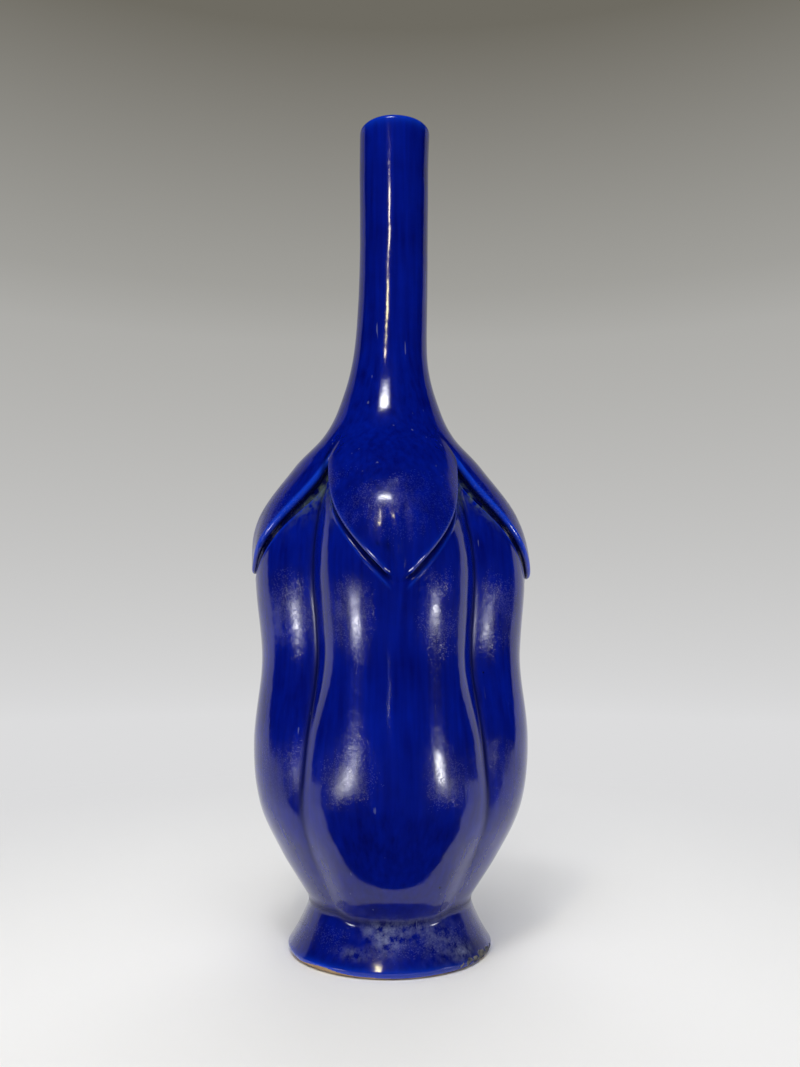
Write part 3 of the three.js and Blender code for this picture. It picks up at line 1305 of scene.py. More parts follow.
    def inside(self, crease_radius: float) -> Patch:
        """The joint face, pocket, ledge and recess, all bare clay.

        Args:
            crease_radius: least radius of the outside at the joint.

        Returns:
            The rows from the joint's edge down to the rim.
        """
        top = FORM.foot_joint
        face = top - JOINT.half_gap
        lip = crease_radius - JOINT.lip
        hollow = self.recess_radius - self.recess_round
        angles = np.linspace(math.pi / 2, 0.0, self.recess_rows)
        corner_radii = hollow + self.recess_round * np.cos(angles)
        corner_heights = self.recess_depth - self.recess_round * (1 - np.sin(angles))
        profile = [
            (lip, top),
            (lip, face),
            (self.pocket_radius, face),
            (self.pocket_radius, self.ledge_height),
            (self.ledge_radius, self.ledge_height),
            (self.ledge_radius, self.recess_depth),
            *zip(corner_radii, corner_heights),
            (self.recess_radius, 0.0),
        ]
        return Patch(turned(profile, self.turn), BARE_PATCH)

    def build(self) -> bpy.types.Object:
        """Build the foot's closed ring, from the rim up the outside and down the recess.

        Returns:
            The piece.
        """
        angle = np.linspace(-math.pi / 2, 0.0, self.round_rows)[:, None]
        climb = np.linspace(self.edge_round, FORM.foot_joint, self.wall_rows)[1:, None]
        rounded = np.repeat(self.rim + self.edge_round * np.cos(angle), self.columns, axis=1)
        radius = np.concatenate([rounded, self.outside(climb)])
        height = np.concatenate([self.edge_round * (1 + np.sin(angle)), climb])
        points, chips = self.chipped(HAND.shape(around(radius, height, self.turn)))
        outside = Patch(points, self.marks(height, chips))
        return make_piece("flared_foot", [outside, self.inside(radius[-1].min())])


@dataclass(frozen=True)
class Floor:
    """Floor of the vase: a clay disc let into the foot, with the spiral of its turning left underneath."""

    radius: float = 18.3
    underside: float = 10.0
    thickness: float = 4.0
    corner: float = 0.5
    dish: float = 0.25
    hub: float = 0.4
    spiral_pitch: float = 3.0
    spiral_depth: float = 0.12
    spiral_start: float = 2.0
    spiral_margin: float = 3.0
    rows: int = 60
    columns: int = 160

    def build(self) -> bpy.types.Object:
        """Build the disc from the pole below, around its rim, to the pole above.

        The underside is h = underside + depth (1 + cos(2 pi r / pitch + turn)) / 2, a one-start spiral that
        fades out at the hub and at the rim. The top is dished by a parabola.

        Returns:
            The piece.
        """
        turn = full_turn(self.columns)
        rim = self.radius - self.corner
        reach = np.linspace(self.hub, rim, self.rows)[:, None]
        wave = (1 + np.cos(math.tau * reach / self.spiral_pitch + turn)) / 2
        fade = smoothstep(reach, rim, self.radius - self.spiral_margin)
        fade = fade * smoothstep(reach, self.hub, self.spiral_start)
        below = around(reach, self.underside + self.spiral_depth * wave * fade, turn)
        top = self.underside + self.thickness
        side = turned([(self.radius, self.underside + self.corner), (self.radius, top - self.corner)], turn)
        inward = reach[::-1]
        above = around(inward, top - self.dish * (1 - (inward / self.radius) ** 2), turn)
        return make_piece("floor_disc", [Patch(below), Patch(side), Patch(above)], poles=True)

    def dress(self, palette: Palette) -> None:
        """Build the floor, leave it bare and seat it.

        Args:
            palette: the materials.
        """
        piece = self.build()
        piece.data.materials.append(palette.clay)
        seat(piece, "base_disc")


@dataclass(frozen=True)
class LowerBody(GlazedSection):
    """Lower bulge of the lobed body, from the crease over the foot to the waist."""

    node: ClassVar[str] = "lower_body"
    foot: Foot
    outer_rows: int = 130
    inner_rows: int = 36

    def build(self) -> bpy.types.Object:
        """Build the closed ring: outside, waist joint, inside and the joint on the foot.

        Returns:
            The piece.
        """
        low, high = FORM.foot_joint, FORM.waist.height
        height = (low + (high - low) * crowded(self.outer_rows))[:, None]
        groove = FORM.section(height)[2]
        outline = smooth_max(body_outline(height, COLUMNS.turn), self.foot.wall(height), self.foot.fillet)
        outside = Patch(HAND.shape(around(outline, height, COLUMNS.turn)), {
            # painted shade along the bottoms of the grooves
            Mark.SHADE_AND_STAIN: GROOVE_PAINTED_SHADE.over(outline, groove),
            Mark.GRIME: GROOVE_GRIME.over(outline, groove),
            Mark.RUBBED: COLUMNS.rubbed(height),
        })
        waist_face = high - JOINT.half_gap
        foot_face = low + JOINT.half_gap
        lip = outline[0].min() - JOINT.lip
        joint = lobed_wall([high, waist_face], -JOINT.lip, level=True)
        inside = lobed_wall(np.linspace(waist_face, foot_face, self.inner_rows), -FORM.body_wall)
        profile = [(self.foot.pocket_radius, foot_face), (lip, foot_face), (lip, low)]
        seat_rows = turned(profile, COLUMNS.turn)
        hidden = HAND.shape(np.concatenate([joint, inside, seat_rows]))
        return make_piece("lower_lobes", [outside, Patch(hidden, BARE_PATCH)])


@dataclass(frozen=True)
class LeafEdge:
    """Outline and edge of the leaves: pointed at the tip, nearly straight, turning up into the notch.

    Distances from the edge are measured square to it over the surface, positive on the leaf.
    """

    length: float = 36.0
    straightness: float = 0.94
    turn_power: int = 8
    face: float = 2.1
    bed: float = 0.5
    roll: float = 1.15
    groove_depth: float = 0.6
    groove_start: float = -1.5
    groove_foot: float = -0.2
    rim_height: float = 0.12
    rim_place: float = -1.85
    rim_width: float = 0.4
    blind_start: float = 2.4
    blind_end: float = 5.2
    blind_reach: float = 15.0
    blind_sink: float = 0.9
    left_press: float = 0.5
    left_start: float = 5.0
    left_end: float = 17.0
    blunt_right: float = 0.13
    blunt_back: float = 0.07
    blunt_left: float = 0.16
    blunt_front: float = 0.02
    crease_depth: float = 0.18
    crease_width: float = 0.8
    crease_fade: float = 2.0
    crease_end: float = 9.0

    @cached_property
    def blunt(self) -> np.ndarray:
        """Bluntness of its leaf's tip at each column, as a share of half the leaf's width."""
        return np.array([self.blunt_right, self.blunt_back, self.blunt_left, self.blunt_front])[COLUMNS.lobe]

    @cached_property
    def height(self) -> np.ndarray:
        """Height of the edge at each column.

        With u the share of the way from the tip to the notch and b the bluntness, the edge climbs by
        sqrt(u^2 + b^2), less what that adds at the notch, and turns up at the end by a high power of u.

        Returns:
            The height, one a column.
        """
        share = COLUMNS.leaf_share
        across = np.hypot(share, self.blunt) - (np.hypot(1.0, self.blunt) - 1) * share
        climb = self.straightness * across + (1 - self.straightness) * across**self.turn_power
        return FORM.notch.height - self.length * (1 - climb)

    @cached_property
    def stretch(self) -> np.ndarray:
        """Rise in height for each millimetre square to the edge, at each column.

        With m the way around the outline and e the rise of the edge, both for each radian, and q the way
        over the surface for each millimetre of height, it is sqrt(m^2 + (e q)^2) / (q m).

        Returns:
            The rise, one a column.
        """
        share = COLUMNS.leaf_share
        bend = (1 - self.straightness) * self.turn_power * share ** (self.turn_power - 1)
        rounding = share / np.hypot(share, self.blunt)
        rise = self.length * (self.straightness * rounding + bend) / HALF_LOBE
        line = FORM.line
        over = np.interp(self.height, line["height"], 1 / line["out"])
        radius, _, groove = FORM.section(self.height)
        outline = FORM.lobed(radius, groove, COLUMNS.away)
        closed = np.concatenate([outline[-2:], outline, outline[:2]])
        turn = COLUMNS.turn
        turns = np.concatenate([turn[-2:] - math.tau, turn, turn[:2] + math.tau])
        sweep = np.hypot(outline, np.gradient(closed, turns)[2:-2])
        return np.hypot(sweep, rise * over) / (over * sweep)

    @cached_property
    def relief(self) -> np.ndarray:
        """How far the edge stands out at each column.

        It is 1, but fades to 0 at the front leaf's blind tip and part of the way at the left leaf's tip,
        which was pressed flatter.

        Returns:
            The relief, from 0 to 1.
        """
        tip = np.degrees(np.abs(COLUMNS.leaf))
        front = smoothstep(tip, self.blind_start, self.blind_end)
        left = 1 - self.left_press * (1 - smoothstep(tip, self.left_start, self.left_end))
        relief = np.where(COLUMNS.lobe == Lobe.FRONT.value, front, 1.0)
        return np.where(COLUMNS.lobe == Lobe.LEFT.value, left, relief)

    def at(self, distance: float | np.ndarray) -> np.ndarray:
        """Heights at a distance from the edge, at each column."""
        return self.height + distance * self.stretch

    def from_edge(self, height: np.ndarray) -> np.ndarray:
        """Distances of heights from the edge, rows by columns."""
        return (height - self.height) / self.stretch

    def face_offset(self, height: np.ndarray) -> np.ndarray:
        """Height of the leaf's face over the body, which sinks to nothing from the notch to the throat.

        Args:
            height: heights, rows by columns.

        Returns:
            Offset of the face from the crest line.
        """
        full = self.face * (1 - smoothstep(height, FORM.notch.height, FORM.throat.height))
        sunk = (1 - self.relief) * (1 - smoothstep(self.from_edge(height), 0.0, self.blind_reach))
        return full * (1 - self.blind_sink * sunk)

    def notch_crease(self, height: np.ndarray) -> np.ndarray:
        """Depth of the line that runs on above a notch between two leaves.

        Args:
            height: heights, rows by columns.

        Returns:
            The depth: a bell across the line, which fades out above the notch.
        """
        off_line = (HALF_LOBE - np.abs(COLUMNS.leaf)) * FORM.section(height)[0]
        notch = FORM.notch.height
        fade = 1 - smoothstep(height, notch + self.crease_fade, notch + self.crease_end)
        return self.crease_depth * hump(off_line, 0.0, self.crease_width) * fade


@dataclass(frozen=True)
class UpperBody(GlazedSection):
    """Upper bulge of the lobed body, from the waist to the collar, grooved along the leaves of the calyx."""

    node: ClassVar[str] = "upper_body"
    edge: LeafEdge
    collar_gap: float = 0.7
    wall_rows: int = 84
    wall_crowding: float = 0.7
    groove_rows: int = 30
    groove_low: float = -3.6
    groove_high: float = 0.6
    groove_power: float = 0.8
    covered_rows: int = 20
    covered_fade: float = 0.15
    inner_rows: int = 36
    hollow_start: float = 0.55
    hollow_full: float = 0.92
    hollow_place: float = -0.4
    hollow_reach: float = 3.6
    hollow_press: float = 1.1
    gutter_place: float = 0.1
    gutter_width: float = 0.9
    gutter_shade: float = 0.9
    rim_thin: float = 0.25

    def outer_rows(self, low: float, top: float) -> tuple[np.ndarray, np.ndarray]:
        """Rows of the outside: up the wall, along the leaves' groove, and under them to the collar.

        Args:
            low: height of the waist joint.
            top: height of the collar.

        Returns:
            Heights and offsets, rows by columns.
        """
        edge = self.edge
        distance = np.linspace(self.groove_low, self.groove_high, self.groove_rows)
        groove_heights = edge.at(distance[:, None])
        rise = crowded(self.wall_rows, self.wall_crowding)[:-1, None]
        wall_heights = low + (groove_heights[0] - low) * rise
        dip = smoothstep(distance, edge.groove_start, edge.groove_foot) ** self.groove_power
        rim = edge.rim_height * hump(distance, edge.rim_place, edge.rim_width)
        groove_offsets = (rim - edge.groove_depth * dip)[:, None] * edge.relief
        share = np.linspace(0.0, 1.0, self.covered_rows)[1:, None]
        covered_heights = groove_heights[-1] + (top - groove_heights[-1]) * share
        covered_offsets = groove_offsets[-1] * (1 - smoothstep(share, 0.0, self.covered_fade))
        heights = np.concatenate([wall_heights, groove_heights, covered_heights])
        offsets = np.concatenate([np.zeros_like(wall_heights), groove_offsets, covered_offsets])
        return heights, offsets

    def build(self) -> bpy.types.Object:
        """Build the closed ring: wall, groove, covered shoulder, collar, inside and waist joint.

        Returns:
            The piece.
        """
        edge = self.edge
        low, top = FORM.waist.height, FORM.collar.height - self.collar_gap
        heights, offsets = self.outer_rows(low, top)
        from_edge = edge.from_edge(heights)
        near_notch = smoothstep(COLUMNS.leaf_share, self.hollow_start, self.hollow_full)
        hollow = near_notch * hump(from_edge, self.hollow_place, self.hollow_reach)
        swell = FRONT_LOBE.swell(heights, COLUMNS.turn)
        outer = lobed_wall(heights, offsets - self.hollow_press * hollow + swell)
        radius, _, groove = FORM.section(heights)
        # Painted shade: the glaze is darkened in the gutter under the leaves' edge and along the grooves.
        gutter = edge.relief * hump(from_edge, self.gutter_place, self.gutter_width)
        outside = Patch(HAND.shape(outer), {
            Mark.SHADE_AND_STAIN: np.maximum(GROOVE_PAINTED_SHADE.over(radius, groove), self.gutter_shade * gutter),
            Mark.THIN: self.rim_thin * edge.relief * hump(from_edge, edge.rim_place, edge.rim_width),
            Mark.HOLLOW: hollow,
            Mark.GRIME: GROOVE_GRIME.over(radius, groove),
            Mark.RUBBED: COLUMNS.rubbed(heights),
        })
        face = low + JOINT.half_gap
        inside = lobed_wall(np.linspace(top, face, self.inner_rows), -FORM.body_wall)
        joint = lobed_wall([face, low], -JOINT.lip, level=True)
        hidden = HAND.shape(np.concatenate([inside, joint]))
        return make_piece("upper_lobes", [outside, Patch(hidden, BARE_PATCH)])


@dataclass(frozen=True)
class Calyx(GlazedSection):
    """Shoulder with the four leaves, whose edges roll over into the groove, and the foot of the neck."""

    node: ClassVar[str] = "calyx"
    edge: LeafEdge
    seat_gap: float = 0.7
    seat_place: float = 0.4
    seat_lift: float = 0.03
    roll_rows: int = 18
    roll_start: float = -55.0
    roll_end: float = 90.0
    blind_rise: float = 0.1
    face_rows: int = 110
    face_crowding: float = 0.75
    inner_rows: int = 36
    bed_rows: int = 30
    bed_inset: float = 0.7
    bed_tip: float = 0.6
    bed_tip_lift: float = 0.02
    thin_front: float = 0.2
    thin_sides: float = 0.7
    crown_start: float = -0.2
    crown_full: float = 0.5
    crown_place: float = 0.55
    crown_width: float = 0.75
    under_full: float = -0.5
    under_end: float = 0.3
    under_shade: float = 0.9
    rub_reach: float = 12.0
    groove_shade: GrooveMark = GrooveMark(share=0.7, width=0.9, shallow=0.3, deep=2.0)
    nicks: tuple[Spot, ...] = (Spot(-93.6, 113.2, 0.5, 1.5), Spot(-96.5, 113.6, 0.6, 0.6, 0.8))

    def roll(self) -> tuple[np.ndarray, np.ndarray, np.ndarray]:
        """The rolled edge, from its seat in the groove over a round to the leaf's face.

        The round has its middle a roll radius inside the edge, and turns from below its middle to the top.

        Returns:
            Heights and offsets, rows by columns, and the angle around the roll at each row.
        """
        edge = self.edge
        angle = np.radians(np.linspace(self.roll_start, self.roll_end, self.roll_rows))
        seat_offset = self.seat_lift - edge.groove_depth
        distance = np.concatenate([[self.seat_place], edge.roll * (1 - np.cos(angle))])
        offset = np.concatenate([[seat_offset], edge.face - edge.roll * (1 - np.sin(angle))])
        blind_distance = np.linspace(0.0, edge.roll, len(distance))
        blind_offset = np.linspace(self.seat_lift, self.blind_rise * edge.face, len(offset))
        distances = edge.relief * distance[:, None] + (1 - edge.relief) * blind_distance[:, None]
        offsets = edge.relief * offset[:, None] + (1 - edge.relief) * blind_offset[:, None]
        return edge.at(distances), offsets, np.concatenate([angle[:1], angle])

    def marks(self, heights: np.ndarray, angles: np.ndarray) -> dict[Mark, np.ndarray]:
        """What the glaze does on the leaves: thin on the rolled edge, painted shade under it, rubbed on the
        shoulder.

        Args:
            heights: heights of the outside, rows by columns.
            angles: angle around the roll, one a row.

        Returns:
            The marks, rows by columns.
        """
        edge = self.edge
        on_crown = smoothstep(angles, self.crown_start, self.crown_full)
        crown = on_crown * hump(edge.from_edge(heights), self.crown_place, self.crown_width)
        # painted shade under the rolled edge and along the grooves, with real dark nicks added on top
        under = 1 - smoothstep(angles, self.under_full, self.under_end)
        radius, _, groove = FORM.section(heights)
        pool = np.maximum(self.groove_shade.over(radius, groove), self.under_shade * edge.relief * under)
        nicked = sum(nick.over(COLUMNS.turn, heights, FORM.bust.radius) for nick in self.nicks)
        thin = np.where(COLUMNS.lobe == Lobe.FRONT.value, self.thin_front, self.thin_sides)
        return {
            Mark.THIN: thin * edge.relief * crown,
            Mark.SHADE_AND_STAIN: pool + nicked,
            Mark.RUBBED: hump(heights, FORM.shoulder.height, self.rub_reach),
        }

    def hidden(self, top: float, seat_height: float) -> Patch:
        """The neck joint, the inside, the seat on the collar and the bed over the body, all bare clay.

        Args:
            top: height of the neck joint.
            seat_height: height of the seat.

        Returns:
            The rows from the joint's edge down to the leaves' edge.
        """
        edge = self.edge
        face = top - JOINT.half_gap
        joint = lobed_wall([top, face], -JOINT.lip, level=True)
        inner = np.linspace(face, seat_height, self.inner_rows)
        thinning = (inner - FORM.collar.height) / (FORM.throat.height - FORM.collar.height)
        inside = lobed_wall(inner, -(FORM.body_wall + (FORM.neck_wall - FORM.body_wall) * thinning))
        share = np.linspace(0.0, 1.0, self.bed_rows)[:, None]
        bed_heights = seat_height + (edge.at(self.bed_inset) - seat_height) * share
        tip = (1 - edge.relief) * smoothstep(share, self.bed_tip, 1.0)
        bed = lobed_wall(bed_heights, edge.bed * (1 - tip) + self.bed_tip_lift * tip)
        return Patch(HAND.shape(np.concatenate([joint, inside, bed])), BARE_PATCH)

    def build(self) -> bpy.types.Object:
        """Build the closed ring: rolled edge, leaves' face, neck joint, inside, seat and bed.

        Returns:
            The piece.
        """
        edge = self.edge
        top, seat_height = FORM.throat.height, FORM.collar.height + self.seat_gap
        roll_heights, roll_offsets, roll_angles = self.roll()
        share = crowded(self.face_rows, self.face_crowding)[1:, None]
        face_heights = roll_heights[-1] + (top - roll_heights[-1]) * share
        heights = np.concatenate([roll_heights, face_heights])
        offsets = np.concatenate([roll_offsets, edge.face_offset(face_heights)])
        outer = lobed_wall(heights, offsets - edge.notch_crease(heights))
        angles = np.concatenate([roll_angles, np.full(len(share), math.pi / 2)])[:, None]
        outside = Patch(HAND.shape(outer), self.marks(heights, angles))
        return make_piece("leaf_calyx", [outside, self.hidden(top, seat_height)])


@dataclass(frozen=True)
class Neck(GlazedSection):
    """Slender tube from the throat to a plain rounded lip, glazed a short way down inside."""

    node: ClassVar[str] = "neck"
    outer_rows: int = 120
    outer_crowding: float = 0.6
    lip_rows: int = 20
    inner_rows: int = 90
    glaze_inside: float = 15.0
    glaze_fade: float = 0.2
    drip: float = 2.4
    drip_wave: float = 12.0
    drip_ring: float = 8.0
    drip_seed: int = 17
    thin_share: float = 0.55
    thin_reach: float = 2.2
    rub_share: float = 0.15

    def build(self) -> bpy.types.Object:
        """Build the closed tube: outside, half-round lip, inside and the joint on the calyx.

        Returns:
            The piece.
        """
        bottom = FORM.throat.height
        lip_round = FORM.neck_wall / 2
        top = FORM.lip.height - lip_round
        height = bottom + (top - bottom) * crowded(self.outer_rows, self.outer_crowding)
        radius = FORM.section(height)[0]
        angle = np.linspace(0.0, math.pi, self.lip_rows)[1:-1]
        lip_radius = radius[-1] - lip_round + lip_round * np.cos(angle)
        lip_height = top + lip_round * np.sin(angle)
        face = bottom + JOINT.half_gap
        inner = np.linspace(top, face, self.inner_rows)
        inner_radius = FORM.section(inner)[0] - FORM.neck_wall
        edge = radius[0] - JOINT.lip
        radii = np.concatenate([radius, lip_radius, inner_radius, [edge, edge]])[:, None]
        levels = np.concatenate([height, lip_height, inner, [face, bottom]])[:, None]
        inside = (np.arange(len(levels)) >= len(height) + len(angle))[:, None]
        drips = ripple(around(self.drip_ring, 0.0, ROUND_TURN), self.drip_wave, self.drip_seed)
        end = FORM.lip.height - self.glaze_inside + self.drip * drips
        tube = Patch(HAND.shape(around(radii, levels, ROUND_TURN)), {
            Mark.BARE: inside * smoothstep(levels, end + self.glaze_fade, end - self.glaze_fade),
            Mark.THIN: self.thin_share * hump(levels, FORM.lip.height, self.thin_reach),
            Mark.RUBBED: np.full(1, self.rub_share),
        })
        return make_piece("neck_tube", [tube])


@dataclass(frozen=True)
class SlipJoints:
    """The slip that lutes the sections: rings in the joints, squeezed out as a soft bead inside."""

    foot: Foot
    floor: Floor
    thickness: float = 0.8
    setback: float = 0.6
    bead: float = 0.8
    bead_rows: int = 9
    unevenness: float = 0.14
    uneven_wave: float = 6.0
    uneven_seed: int = 41

    @property
    def half(self) -> float:
        """Half the thickness of a ring."""
        return self.thickness / 2

    @cached_property
    def bead_angle(self) -> np.ndarray:
        """Angles of the rows around a bead, from its top to its underside."""
        return np.linspace(math.pi / 2, -math.pi / 2, self.bead_rows)

    def row_heights(self, middle: float) -> np.ndarray:
        """Heights of a ring's rows around its middle: two at its outer edge, then those of the bead."""
        return middle + np.concatenate([[-self.half, self.half], self.half * np.sin(self.bead_angle)])

    def lobed_ring(self, name: str, height: float, setback: float, wall: float) -> bpy.types.Object:
        """A ring between two lobed sections, with an uneven bead at its inner edge.

        Args:
            name: name of the piece.
            height: height of the joint.
            setback: how far the ring stays behind the outside.
            wall: thickness of the wall there.

        Returns:
            The piece.
        """
        heights = self.row_heights(height)
        edges = np.concatenate([[-setback, -setback], np.full(self.bead_rows, -wall)])
        bulge = self.bead * np.concatenate([[0.0, 0.0], np.cos(self.bead_angle)])
        even = lobed_wall(heights, edges - bulge)
        squeeze = 1 - self.unevenness * (1 + ripple(even, self.uneven_wave, self.uneven_seed)) / 2
        uneven = lobed_wall(heights, edges[:, None] - bulge[:, None] * squeeze)
        return make_piece(name, [Patch(HAND.shape(uneven))])

    def washer(self, name: str, inner: float, outer: float, middle: float) -> bpy.types.Object:
        """A flat ring between two flat faces, with a half-round bead at its inner edge.

        Args:
            name: name of the piece.
            inner: inner radius.
            outer: outer radius.
            middle: height of its middle.

        Returns:
            The piece.
        """
        radii = np.concatenate([[outer, outer], inner + self.half * (1 - np.cos(self.bead_angle))])
        points = around(radii[:, None], self.row_heights(middle)[:, None], ROUND_TURN)
        return make_piece(name, [Patch(points)])

    def dress(self, palette: Palette) -> None:
        """Build the five slip joints and seat them.

        Args:
            palette: the materials.
        """
        foot, floor = self.foot, self.floor
        on_ledge = (floor.underside + foot.ledge_height) / 2
        pocket = foot.pocket_radius - self.bead
        crease = FORM.crease.radius - self.setback
        rings = {
            "floor_slip": self.washer("floor_luting", foot.ledge_radius, floor.radius, on_ledge),
            "foot_slip": self.washer("foot_luting", pocket, crease, FORM.foot_joint),
            "waist_slip": self.lobed_ring("waist_luting", FORM.waist.height, self.setback, FORM.body_wall),
            "collar_slip": self.lobed_ring("collar_luting", FORM.collar.height, 0.0, FORM.body_wall),
            "neck_slip": self.lobed_ring("neck_luting", FORM.throat.height, self.setback, FORM.neck_wall),
        }
        for node, piece in rings.items():
            piece.data.materials.append(palette.slip)
            seat(piece, node)


@dataclass(frozen=True)
class Lamp:
    """A soft box: its bearing from the front towards +X, its reach and level, its size and its power.

    Its cloth glows in full out to the core, and less from there to the rim, both shares of its size; edge is
    the share of the glow that is left there. A grid narrows its beam to a spread in degrees. Sizes are in
    metres.
    """

    name: str
    bearing: float
    reach: float
    level: float
    width: float
    height: float
    power: float
    colour: str = "ffffff"
    edge: float = 0.06
    spread: float = 180.0
    mirrored: bool = True
    core: float = 0.14
    rim: float = 0.5
    middle: tuple[float, float, float] = (0.5, 0.5, 0.0)

    def glow(self, data: bpy.types.AreaLight) -> None:
        """Let the lamp's light fall off from the middle of its cloth to the rim.

        Args:
            data: the lamp's light.
        """
        data.use_nodes = True
        data.node_tree.nodes.clear()
        graph = Graph(data.node_tree)
        cloth = graph.add("ShaderNodeNewGeometry", output="Parametric")
        off = graph.add("ShaderNodeVectorMath", {
            0: cloth, 1: self.middle,
        }, output="Value", operation="DISTANCE")
        share = graph.add("ShaderNodeMapRange", {
            "Value": off, "From Min": self.core, "From Max": self.rim, "To Min": 1.0, "To Max": self.edge,
        }, interpolation_type="SMOOTHSTEP")
        light = graph.add("ShaderNodeEmission", {"Strength": share})
        graph.add("ShaderNodeOutputLight", {"Surface": light}, output=None)

    def hang(self, aim: Vector) -> None:
        """Hang the soft box at its bearing, facing the aim and hidden from the camera.

        Args:
            aim: the point that it faces.
        """
        bearing = math.radians(self.bearing)
        stand = Vector((math.sin(bearing) * self.reach, -math.cos(bearing) * self.reach, self.level))
        data = bpy.data.lights.new(self.name, "AREA")
        data.shape = "RECTANGLE"
        data.size = self.width
        data.size_y = self.height
        data.spread = math.radians(self.spread)
        data.energy = self.power
        data.color = linear(self.colour)[:3]
        self.glow(data)
        box = new_object(self.name, data)
        box.location = stand
        box.rotation_euler = (aim - stand).to_track_quat("-Z", "Y").to_euler()
        box.visible_camera = False
        box.visible_glossy = self.mirrored


@dataclass(frozen=True)
class PaleSweep:
    """Pale paper sweep: a round floor that curves up all round into a wall. Sizes are in metres.

    Seen by the camera and in reflections, the far sweep glows with painted light: one even fall of grey from
    the floor up, painted shade towards its top; the floor near the vase is lit by the lamps and holds its
    shadow.
    """

    floor_colour: str = "ececec"
    low_colour: str = "dcdcdd"
    middle_colour: str = "a8a7a3"
    high_colour: str = "6e6b62"
    hub: float = 0.01
    floor_radius: float = 0.8
    curve_radius: float = 0.55
    wall_height: float = 1.9
    lit_radius: float = 0.04
    even_radius: float = 0.34
    fall_height: float = 0.7
    fall_power: float = 0.6
    dusk_start: float = 0.6
    dusk_end: float = 1.2
    floor_rows: int = 40
    curve_rows: int = 24
    columns: int = 96

    def paper(self) -> bpy.types.Material:
        """Matt pale paper of the sweep: lit near the vase, and further off a glow of painted light, an even
        grey fall.

        Returns:
            The material.
        """
        material, graph = new_material("pale_paper")
        place = graph.add("ShaderNodeTexCoord", output="Object")
        flat = graph.add("ShaderNodeVectorMath", {0: place, 1: (1, 1, 0)}, operation="MULTIPLY")
        reach = graph.add("ShaderNodeVectorMath", {0: flat}, output="Value", operation="LENGTH")
        far = graph.add("ShaderNodeMapRange", {
            "Value": reach, "From Min": self.lit_radius, "From Max": self.even_radius,
        }, interpolation_type="SMOOTHSTEP")
        rise = graph.add("ShaderNodeSeparateXYZ", {0: place}, output="Z")
        climb = graph.add("ShaderNodeMapRange", {"Value": rise, "From Max": self.fall_height})
        fall = graph.add("ShaderNodeMath", {0: climb, 1: self.fall_power}, operation="POWER")
        dusk = graph.add("ShaderNodeMapRange", {
            "Value": rise, "From Min": self.dusk_start, "From Max": self.dusk_end,
        })
        pale = graph.add("ShaderNodeMix", {
            0: fall, MIX_A: linear(self.low_colour), MIX_B: linear(self.middle_colour),
        }, output=MIX_OUT, data_type="RGBA")
        grey = graph.add("ShaderNodeMix", {
            0: dusk, MIX_A: pale, MIX_B: linear(self.high_colour),
        }, output=MIX_OUT, data_type="RGBA")
        rays = graph.add("ShaderNodeLightPath", output=None)
        seen = rays.outputs["Is Camera Ray"]
        for kind in ("Is Glossy Ray", "Is Transmission Ray"):
            seen = graph.add("ShaderNodeMath", {0: seen, 1: rays.outputs[kind]}, operation="MAXIMUM")
        share = graph.add("ShaderNodeMath", {0: seen, 1: far}, operation="MULTIPLY")
        lit = graph.add("ShaderNodeBsdfDiffuse", {"Color": linear(self.floor_colour)})
        # painted light: the far sweep glows with a grey that darkens upwards, painted shade over its top
        even = graph.add("ShaderNodeEmission", {"Color": grey})
        shader = graph.add("ShaderNodeMixShader", {0: share, 1: lit, 2: even})
        graph.add("ShaderNodeOutputMaterial", {"Surface": shader}, output=None)
        return material

    def build(self) -> None:
        """Build the sweep from the top of its wall inwards, closed by a fan at the middle of the floor."""
        rim, bend = self.floor_radius, self.curve_radius
        angle = np.linspace(-math.pi / 2, 0.0, self.curve_rows)[1:]
        floor = np.linspace(self.hub, rim, self.floor_rows)
        radius = np.concatenate([floor, rim + bend * np.cos(angle), [rim + bend]])
        height = np.concatenate([np.zeros(self.floor_rows), bend * (1 + np.sin(angle)), [self.wall_height]])
        grid = around(radius[::-1, None], height[::-1, None], full_turn(self.columns))
        vertices = grid.reshape(-1, 3)
        index = np.arange(len(vertices)).reshape(grid.shape[:2])
        faces = quads_of(np.pad(index, ((0, 0), (0, 1)), mode="wrap")) + fan_of(len(vertices), index[-1])
        mesh = new_mesh("sweep", np.concatenate([vertices, np.zeros((1, 3))]), faces)
        mesh.shade_smooth()
        mesh.materials.append(self.paper())
        sweep = new_object("sweep", mesh)


